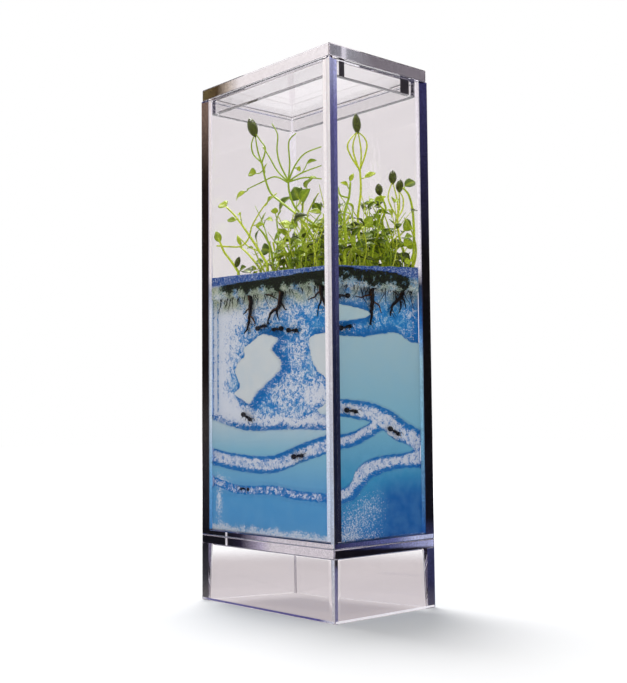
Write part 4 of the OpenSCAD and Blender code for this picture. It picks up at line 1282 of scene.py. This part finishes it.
SEED_TONES = [srgb(22, 26, 12), srgb(44, 40, 18), srgb(92, 66, 30), srgb(30, 44, 16), srgb(128, 104, 52)]
SEEDS = 420
FIBRES = 150
ROOT_R = 1.2
HAIR_TOP = GEL_TOP - 1.0  # where the fine roots start
ROOT_DEPTH = 2.0  # how far behind the gel's face the roots and the ants are
ROOTS = [  # pane, the line of each root, and its branches
    [FRONT, [[-13.5, 149], [-13.5, 143], [-13.8, 138], [-15, 133.5], [-18, 129]],
        [[[-13.8, 141], [-17, 139.5], [-19, 138]], [[-13.7, 137], [-11, 135], [-10.5, 132]]]],
    [FRONT, [[9, 149], [9, 144.5], [7.5, 140], [3.5, 138], [0.8, 136], [0, 132]],
        [[[8.8, 142], [11, 139], [13, 138]], [[6.5, 139.5], [6.5, 136], [8, 133.5]],
         [[-8, 149], [-3, 146.5], [2, 145.5], [7, 143]]]],
    [FRONT, [[37, 149], [37, 144], [38, 140.5], [40, 137]],
        [[[37.2, 142], [35.5, 138], [34, 133]], [[37, 145], [32, 142], [28, 141.5]]]],
    [RIGHT, [[-3, 149], [-3, 143], [-3.3, 138], [-3.5, 133.5], [-4.5, 130]],
        [[[-3, 144], [-9, 142.5], [-14, 142]], [[-3, 141], [1, 139], [3, 135.5]]]],
    [RIGHT, [[16.5, 149], [16.5, 145], [13, 142], [10, 139], [8.5, 135]],
        [[[16.2, 144.5], [18, 142], [19, 138.5]], [[15, 143.5], [15.5, 139], [14, 136]],
         [[1, 149], [5, 147.5], [9, 147], [14.5, 144.5]]]],
]
ROOT_BROWN = srgb(18, 12, 6)
ROOT_OCHRE_HIGHLIGHT = srgb(150, 92, 30)


def add_mat(material):
    """The seed mat: a lumpy bed of seeds and fibres on the gel."""
    dice = random.Random(3)
    g = Growth()
    columns, rows = 64, 40
    x0, y0, x1, y1 = MAT_LOW[0] + 0.4, MAT_LOW[1] + 0.4, MAT_HIGH[0] - 0.4, MAT_HIGH[1] - 0.4
    points, tones = [], []
    for i in range(rows + 1):
        for j in range(columns + 1):
            x, y = x0 + (x1 - x0) * j / columns, y0 + (y1 - y0) * i / rows
            lump = noise.noise((x / 2.4, y / 2.4, 1.0)) * 0.6 + noise.noise((x / 0.9, y / 0.9, 4.0)) * 0.4
            edge = i in (0, rows) or j in (0, columns)
            z = MAT_TOP - 1.0 + 0.8 * lump - (1.6 if edge else 0)
            points.append((x + 0.3 * noise.noise((y, z, 2.0)), y + 0.3 * noise.noise((x, z, 5.0)), z))
            tones.append(shade(SEED_TONES[0 if lump < 0 else 3], 1 + 0.8 * max(0, lump)))
    top = len(points)
    rim = sheet_rim(rows, columns)
    points += [(points[k][0], points[k][1], GEL_TOP + SEAT_GAP) for k in rim]
    tones += [SEED_TONES[0]] * len(rim)
    foot = range(top, top + len(rim))
    faces = sheet_faces(rows, columns) + [tuple(reversed(foot))]
    faces += [(rim[k - 1], foot[k - 1], foot[k], rim[k]) for k in range(len(rim))]
    g.add(points, faces, tones)
    for _ in range(SEEDS):
        x, y = dice.uniform(x0 + 1, x1 - 1), dice.uniform(y0 + 1, y1 - 1)
        if dice.random() < 0.35:
            y = y0 + dice.uniform(0.4, 1.4)
        elif dice.random() < 0.3:
            x = x1 - dice.uniform(0.4, 1.4)
        length, turn = dice.uniform(1.1, 2.0), dice.uniform(0, 2 * math.pi)
        way = heading(turn, dice.uniform(-0.25, 0.25)) * length / 2
        here = Vector((x, y, MAT_TOP - dice.uniform(0.65, 1.0)))
        g.tube([here + way * (t / 3 - 1) for t in range(7)],
               [0.08, length * 0.2, length * 0.27, length * 0.2, 0.08], dice.choice(SEED_TONES), 7)
    for _ in range(FIBRES):
        x, y = dice.uniform(x0 + 2, x1 - 2), dice.uniform(y0 + 2, y1 - 2)
        way = heading(dice.uniform(0, 2 * math.pi))
        bend = way.cross(UP) * dice.uniform(-1, 1)
        here = Vector((x, y, MAT_TOP - 0.75))
        line = [here + way * t * 1.4 + bend * math.sin(t * 2) + 0.35 * math.sin(2.5 * t) * UP
                for t in (-1, -0.5, 0, 0.5, 1)]
        g.tube(smooth_line([(max(x0, min(x1, p.x)), max(y0, min(y1, p.y)), p.z) for p in line], 2),
               [0.12, 0.14, 0.08], shade(dice.choice(SEED_TONES[1:]), 1.2), 5)
    g.make("seed_bed", "seed_mat", material, ["root_mat"])


def root_tone(t, k):
    """Dark, with an ochre painted highlight along one side that fades towards the tip."""
    lit = 0.5 + 0.5 * math.cos(math.pi * (k - 2) / 4)
    return blend(ROOT_BROWN, ROOT_OCHRE_HIGHLIGHT, 0.6 * lit ** 3 * (1 - 0.6 * t))


def wavy(line, size, seed):
    """The line with small sideways bends that grow from its start."""
    return [p + noise.noise_vector((p[0] * 0.5 + seed, p[1] * 0.5, p[2] * 0.5)) * size * min(1.0, i / 4)
            for i, p in enumerate(line)]


def add_roots(material):
    dice = random.Random(11)
    for i, (pane, line, branches) in enumerate(ROOTS):
        g = Growth()

        def path(points, steps):
            return wavy([behind_pane(pane, p, ROOT_DEPTH) for p in smooth_line(points, steps)], 0.5, 3.0 * i)
        main = path(line, 6)
        top = behind_pane(pane, line[0], ROOT_DEPTH)
        g.tube([Vector((top.x, top.y, GEL_TOP))] + main,
               [ROOT_R, ROOT_R * 0.85, ROOT_R * 0.7, ROOT_R * 0.5, ROOT_R * 0.22], root_tone, 10)
        for branch in branches:
            g.tube(path(branch, 5), [ROOT_R * 0.42, ROOT_R * 0.3, ROOT_R * 0.12], root_tone, 8)
        for _ in range(9):  # fine rootlets
            p = main[dice.randrange(2, len(main))]
            turn = dice.choice((-1, 1)) * dice.uniform(0.5, 1.4)
            out = -inward(pane)
            across = Vector((out.y, -out.x, 0)) * math.sin(turn)
            reach = dice.uniform(2, 4.4)
            way = (across - math.cos(turn) * UP) * reach
            hair = [p, p + way * 0.5 - 0.3 * UP, p + way - 0.9 * UP]
            g.tube(wavy([Vector(q) for q in smooth_line(hair, 4)], 0.5, 7.0 * i), [0.16, 0.12, 0.06],
                   shade(ROOT_BROWN, 1.2), 5)
        g.make("hanging_root_%d" % (i + 1), "root", material, ["taproot_%d" % (i + 1)])


def add_root_hairs(material):
    """Fine roots that come through the gel's crust all along the panes."""
    dice = random.Random(5)
    g = Growth()
    for pane, count in ((FRONT, 64), (RIGHT, 50), (BACK, 34), (LEFT, 26)):
        half = gel_half(pane)
        for _ in range(count):
            u = dice.uniform(-half + 8 if pane == FRONT else -half + 4, half - 4)
            length = dice.choice((2, 3, 4, 5, 8)) * dice.uniform(0.7, 1.2)
            lean = dice.uniform(-0.7, 0.7) * length
            depth = dice.uniform(0.5, 2.2)
            line = [(u, HAIR_TOP), (u + lean * 0.3 + dice.uniform(-0.5, 0.5), HAIR_TOP - 1.6 - length * 0.4),
                    (u + lean + dice.uniform(-0.6, 0.6), HAIR_TOP - 1.6 - length)]
            thin = dice.uniform(0.09, 0.22)
            g.tube(wavy([behind_pane(pane, p, depth) for p in smooth_line(line, 5)], 0.6, 1.0),
                   [thin * 1.3, thin, thin * 0.4], shade(ROOT_BROWN, dice.uniform(0.5, 1.6)), 5)
    g.make("root_hairs", "root", material)


# ---------------------------------------------------------------- ants

ANT_L = 8.2
ANT_BLACK = srgb(8, 6, 7)
ANT_BROWN = srgb(26, 16, 12)
ANTS = [  # pane, place, tilt, and 1 or -1 for a head to the right or left
    [FRONT, [-5.5, 131], 10, 1],
    [FRONT, [6.5, 129.3], 0, -1],
    [FRONT, [17, 128], -4, 1],
    [FRONT, [-17, 88.8], -24, 1],
    [FRONT, [20, 70.8], 6, 1],
    [FRONT, [-17.8, 54.6], -2, -1],
    [RIGHT, [-21, 142], 4, -1],
    [RIGHT, [-20, 128], 10, 1],
    [RIGHT, [-17, 91], -5, 1],
    [RIGHT, [10, 81.6], -24, 1],
]


def ant_shapes(dice):
    """An ant in shares of its length, with its head at +X and its back at +Z."""
    g = Growth()

    def part(points, radii, tone=ANT_BLACK, sides=12, steps=3):
        g.tube(smooth_line(points, steps), radii, tone, sides)
    part([(-0.5, 0, -0.02), (-0.42, 0, 0.005), (-0.32, 0, 0.015), (-0.2, 0, 0.0), (-0.12, 0, -0.01)],
         [0.012, 0.075, 0.118, 0.142, 0.148, 0.135, 0.095, 0.045, 0.02], steps=4)
    part([(-0.13, 0, -0.01), (-0.1, 0, 0.0), (-0.075, 0, 0.01), (-0.05, 0, 0.0)],
         [0.02, 0.035, 0.024, 0.045, 0.052, 0.03, 0.022])
    part([(-0.06, 0, 0.0), (0.0, 0, 0.015), (0.06, 0, 0.02), (0.13, 0, 0.03), (0.2, 0, 0.01)],
         [0.02, 0.055, 0.07, 0.066, 0.078, 0.084, 0.066, 0.032], steps=4)
    part([(0.19, 0, 0.01), (0.24, 0, 0.02), (0.32, 0, 0.0), (0.4, 0, -0.03), (0.44, 0, -0.045)],
         [0.024, 0.07, 0.105, 0.112, 0.1, 0.075, 0.03], steps=4)
    for side in (-1, 1):
        part([(0.41, side * 0.04, -0.045), (0.46, side * 0.055, -0.06), (0.5, side * 0.01, -0.07)],
             [0.022, 0.02, 0.006], ANT_BROWN, 6)
        part([(0.36, side * 0.05, 0.03), (0.43, side * 0.1, 0.1), (0.49, side * 0.13, 0.13)],
             [0.012, 0.014, 0.012], ANT_BROWN, 6)
        part([(0.49, side * 0.13, 0.13), (0.56, side * 0.15, 0.1), (0.64, side * 0.14, 0.03)],
             [0.013, 0.015, 0.012], ANT_BLACK, 6)
        for lean, hip_x in ((-1, 0.02), (0.15, 0.08), (1.1, 0.15)):
            jog = dice.uniform(-0.05, 0.05)
            hip = (hip_x, side * 0.035, -0.03)
            knee = (hip_x + lean * 0.13 + jog, side * 0.13, 0.06 + jog)
            ankle = (hip_x + lean * 0.24 + jog, side * 0.165, -0.12)
            toe = (hip_x + lean * 0.32 + jog, side * 0.175, -0.17)
            thigh = ((hip[0] + knee[0]) / 2, side * 0.09, 0.035)
            part([hip, thigh, knee], [0.026, 0.028, 0.017], ANT_BLACK, 7)
            part([knee, ankle, toe], [0.019, 0.017, 0.012, 0.009], ANT_BROWN, 6)
    return g


def add_ants(material):
    for i, (pane, place, tilt, head) in enumerate(ANTS):
        g = ant_shapes(random.Random(20 + i))
        turn = Matrix.Rotation(math.radians(90 * pane), 3, "Z") \
            @ Matrix.Rotation(math.radians(-tilt), 3, "Y") \
            @ Matrix.Rotation(0 if head > 0 else math.pi, 3, "Z")
        middle = behind_pane(pane, place, ROOT_DEPTH)
        g.points = [tuple(middle + turn @ (Vector(p) * ANT_L)) for p in g.points]
        g.make("worker_ant_%d" % (i + 1), "ant", material, ["ant_%d" % (i + 1)])


# ---------------------------------------------------------------- floor, lights and room

FLOOR_HALF = 3000.0
CAMERA_GLOW = 0.62  # what the pale floor adds far from the tower, for the camera and for glass and gloss
CAMERA_GLOW_NEAR = 0.04
CLEAR_GLOW = 0.3
GLOW_TINT = (1.0, 0.96, 0.95)
PAPER = (0.59, 0.59, 0.6), (0.61, 0.61, 0.61)
NEAR_FLOOR = 0.15  # within this distance of the middle, in metres, the floor is plain
SHADOW_PAINT_FLOOR = (0.2, 0.19, 0.19)  # painted shadow of the tower: the darker floor that glass and gloss see near it, and the flat painted glow that it adds
SHADOW_PAINT_GLOW = (0.38, 0.33, 0.34)
WORLD_LIGHT = 0.85
ROOM_LIGHT = (1.03, 0.965, 0.96)  # what glass and gloss see where there is no card
REFLECTED_CARDS = [  # painted reflections: dark cards beside the tower out of view, which only glass and gloss see and which block no light; compass direction, half width, colour
    ((-0.72, -0.69), 26, srgb(34, 30, 38)),
    ((0.72, 0.69), 32, srgb(30, 26, 28)),
]
CARD_START = 0.07  # distance from the tower at which the cards' floor begins, in metres
CARD_TOP = 0.45
# painted reflection: the dark ground under the cards, which only glass and gloss see
CARD_REFLECTION_FLOOR = srgb(40, 40, 60)
KEY_SIZE = 0.9  # metres, as are its places
KEY_POWER = 46  # watts
KEY_AT = Vector((-0.7, 0.3, 1.95))
KEY_AIM = Vector((0, 0, 0.1))


def reflected_card_share(n, way, half, compass):
    """1 where the level direction way falls on a card, else 0."""
    middle = tuple(Vector((*compass, 0)).normalized())
    facing = n.vector("DOT_PRODUCT", way, middle, output="Value")
    return n.ramp(facing, math.cos(math.radians(half + 3)), math.cos(math.radians(half - 3)))


def add_floor():
    """White paper, which glows a little far off. Near the tower glass and gloss see it darker with a flat
    glow, a painted shadow of the tower, and they see the cards' dark ground on it, a painted reflection."""
    material, n = new_material("pale_floor")
    glassy, ray = n.glassy_ray()
    place = n.add("ShaderNodeTexCoord").outputs["Object"]
    away = n.vector("LENGTH", place, output="Value")
    way = n.vector("NORMALIZE", place)
    # painted shadow: near the tower glass and gloss see darker paper with a flat glow
    painted_shadow = n.math("MULTIPLY", n.ramp(away, 2 * NEAR_FLOOR, 4 * NEAR_FLOOR, 1.0, 0.0), glassy)
    paper = n.mix(n.noise(n.place_mm(), 0.02, 2.0), *PAPER)
    paper = n.mix(painted_shadow, paper, SHADOW_PAINT_FLOOR)
    # painted reflection of the cards' dark ground, for glass and gloss only
    card_reflection = 0.0
    for compass, half, _ in REFLECTED_CARDS:
        card_reflection = n.math("MAXIMUM", card_reflection, reflected_card_share(n, way, half, compass))
    card_place = n.math("MULTIPLY", n.ramp(away, CARD_START, 2 * CARD_START), glassy)
    card_reflection = n.math("MULTIPLY", card_reflection, card_place)
    bare = n.math("SUBTRACT", 1.0, card_reflection)
    for_camera = n.ramp(away, NEAR_FLOOR, 5 * NEAR_FLOOR, CAMERA_GLOW_NEAR, CAMERA_GLOW)
    for_glass = n.ramp(away, 2 * NEAR_FLOOR, 4 * NEAR_FLOOR, 0.0, CLEAR_GLOW)
    glow = n.math("ADD", n.math("MULTIPLY", ray["Is Camera Ray"], for_camera),
                  n.math("MULTIPLY", glassy, for_glass))
    look = n.add("ShaderNodeBsdfDiffuse", {"Color": n.mix(card_reflection, paper, CARD_REFLECTION_FLOOR)})
    for colour, strength in ((GLOW_TINT, glow), (SHADOW_PAINT_GLOW, painted_shadow)):
        strength = n.math("MULTIPLY", strength, bare)
        light = n.add("ShaderNodeEmission", {"Color": colour, "Strength": strength})
        look = n.add("ShaderNodeAddShader", {0: look.outputs[0], 1: light.outputs[0]})
    n.add("ShaderNodeOutputMaterial", {"Surface": look.outputs[0]})
    h = FLOOR_HALF * MM
    mesh = bpy.data.meshes.new("floor")
    mesh.from_pydata([(-h, -h, 0), (h, -h, 0), (h, h, 0), (-h, h, 0)], [], [(0, 1, 2, 3)])
    mesh.materials.append(material)
    floor = bpy.data.objects.new("floor", mesh)
    bpy.context.scene.collection.objects.link(floor)


def add_world():
    """Plain soft light. Glass and gloss also see the dark cards beside the tower, painted reflections that
    block no light.
    """
    world = bpy.data.worlds.new("studio")
    world.use_nodes = True
    bpy.context.scene.world = world
    n = Nodes(world.node_tree)
    way = n.add("ShaderNodeTexCoord").outputs["Generated"]
    axes = n.add("ShaderNodeSeparateXYZ", {0: way}).outputs
    level = n.add("ShaderNodeCombineXYZ", {"X": axes[0], "Y": axes[1]}).outputs[0]
    level = n.vector("NORMALIZE", level)
    low = n.ramp(axes[2], CARD_TOP, CARD_TOP + 0.15, 1, 0)
    room = ROOM_LIGHT
    for compass, half, colour in REFLECTED_CARDS:
        room = n.mix(n.math("MULTIPLY", reflected_card_share(n, level, half, compass), low), room, colour)
    glassy, ray = n.glassy_ray()
    colour = n.mix(ray["Is Camera Ray"], n.mix(glassy, (WORLD_LIGHT,) * 3, room), (1.0, 1.0, 1.0))
    background = n.add("ShaderNodeBackground", {"Color": colour, "Strength": 1.0})
    n.add("ShaderNodeOutputWorld", {"Surface": background.outputs[0]})


def add_key():
    data = bpy.data.lights.new("soft_key", "AREA")
    data.shape = "DISK"
    data.size = KEY_SIZE
    data.energy = KEY_POWER
    lamp = bpy.data.objects.new("soft_key", data)
    lamp.location = KEY_AT
    lamp.rotation_euler = (KEY_AIM - lamp.location).to_track_quat("-Z", "Y").to_euler()
    bpy.context.scene.collection.objects.link(lamp)


def set_scene():
    scene = bpy.context.scene
    scene.view_settings.view_transform = "Standard"
    scene.cycles.max_bounces = 32
    scene.cycles.transmission_bounces = 28
    scene.cycles.glossy_bounces = 12
    scene.cycles.transparent_max_bounces = 16
    scene.cycles.use_denoising = True


# ---------------------------------------------------------------- the model

add_camera()
set_scene()
add_world()
add_key()
add_floor()
add_stand(acrylic_material("clear_stand", *STAND_TINT))
add_tank(acrylic_material("clear_tank", *TANK_TINT))
add_lid(acrylic_material("clear_lid", *LID_TINT))
edge_paint = painted_edge_material()
add_corners(edge_paint, "tank", STAND_H + 0.6, RIM_Z - 0.5, WALL, GEL_Z + 0.4)
add_corners(edge_paint, "stand", 0.4, STAND_H - STAND_TOP - 0.1, SKIRT_FOOT)
add_films(edge_paint)
add_gel(gel_material())
# the sprouts get a painted glow of 0.13
plant = growth_material("sprout_green", 0.42, 0.3, srgb(104, 122, 22), 0.2, 0.13)
earth = growth_material("seed_and_husk", 0.7, 0.3, srgb(16, 16, 8), 0.5)
bark = growth_material("root_bark", 0.6, 0.25, srgb(14, 9, 5), 0.4)
chitin = growth_material("ant_shell", 0.3, 0.35, srgb(16, 9, 7), 0.1)
add_mat(earth)
add_roots(bark)
add_root_hairs(bark)
add_ants(chitin)
for number, (name, plan) in enumerate(SPROUTS.items()):
    add_sprout(name, plan, random.Random(40 + number), plant)
add_undergrowth(plant)
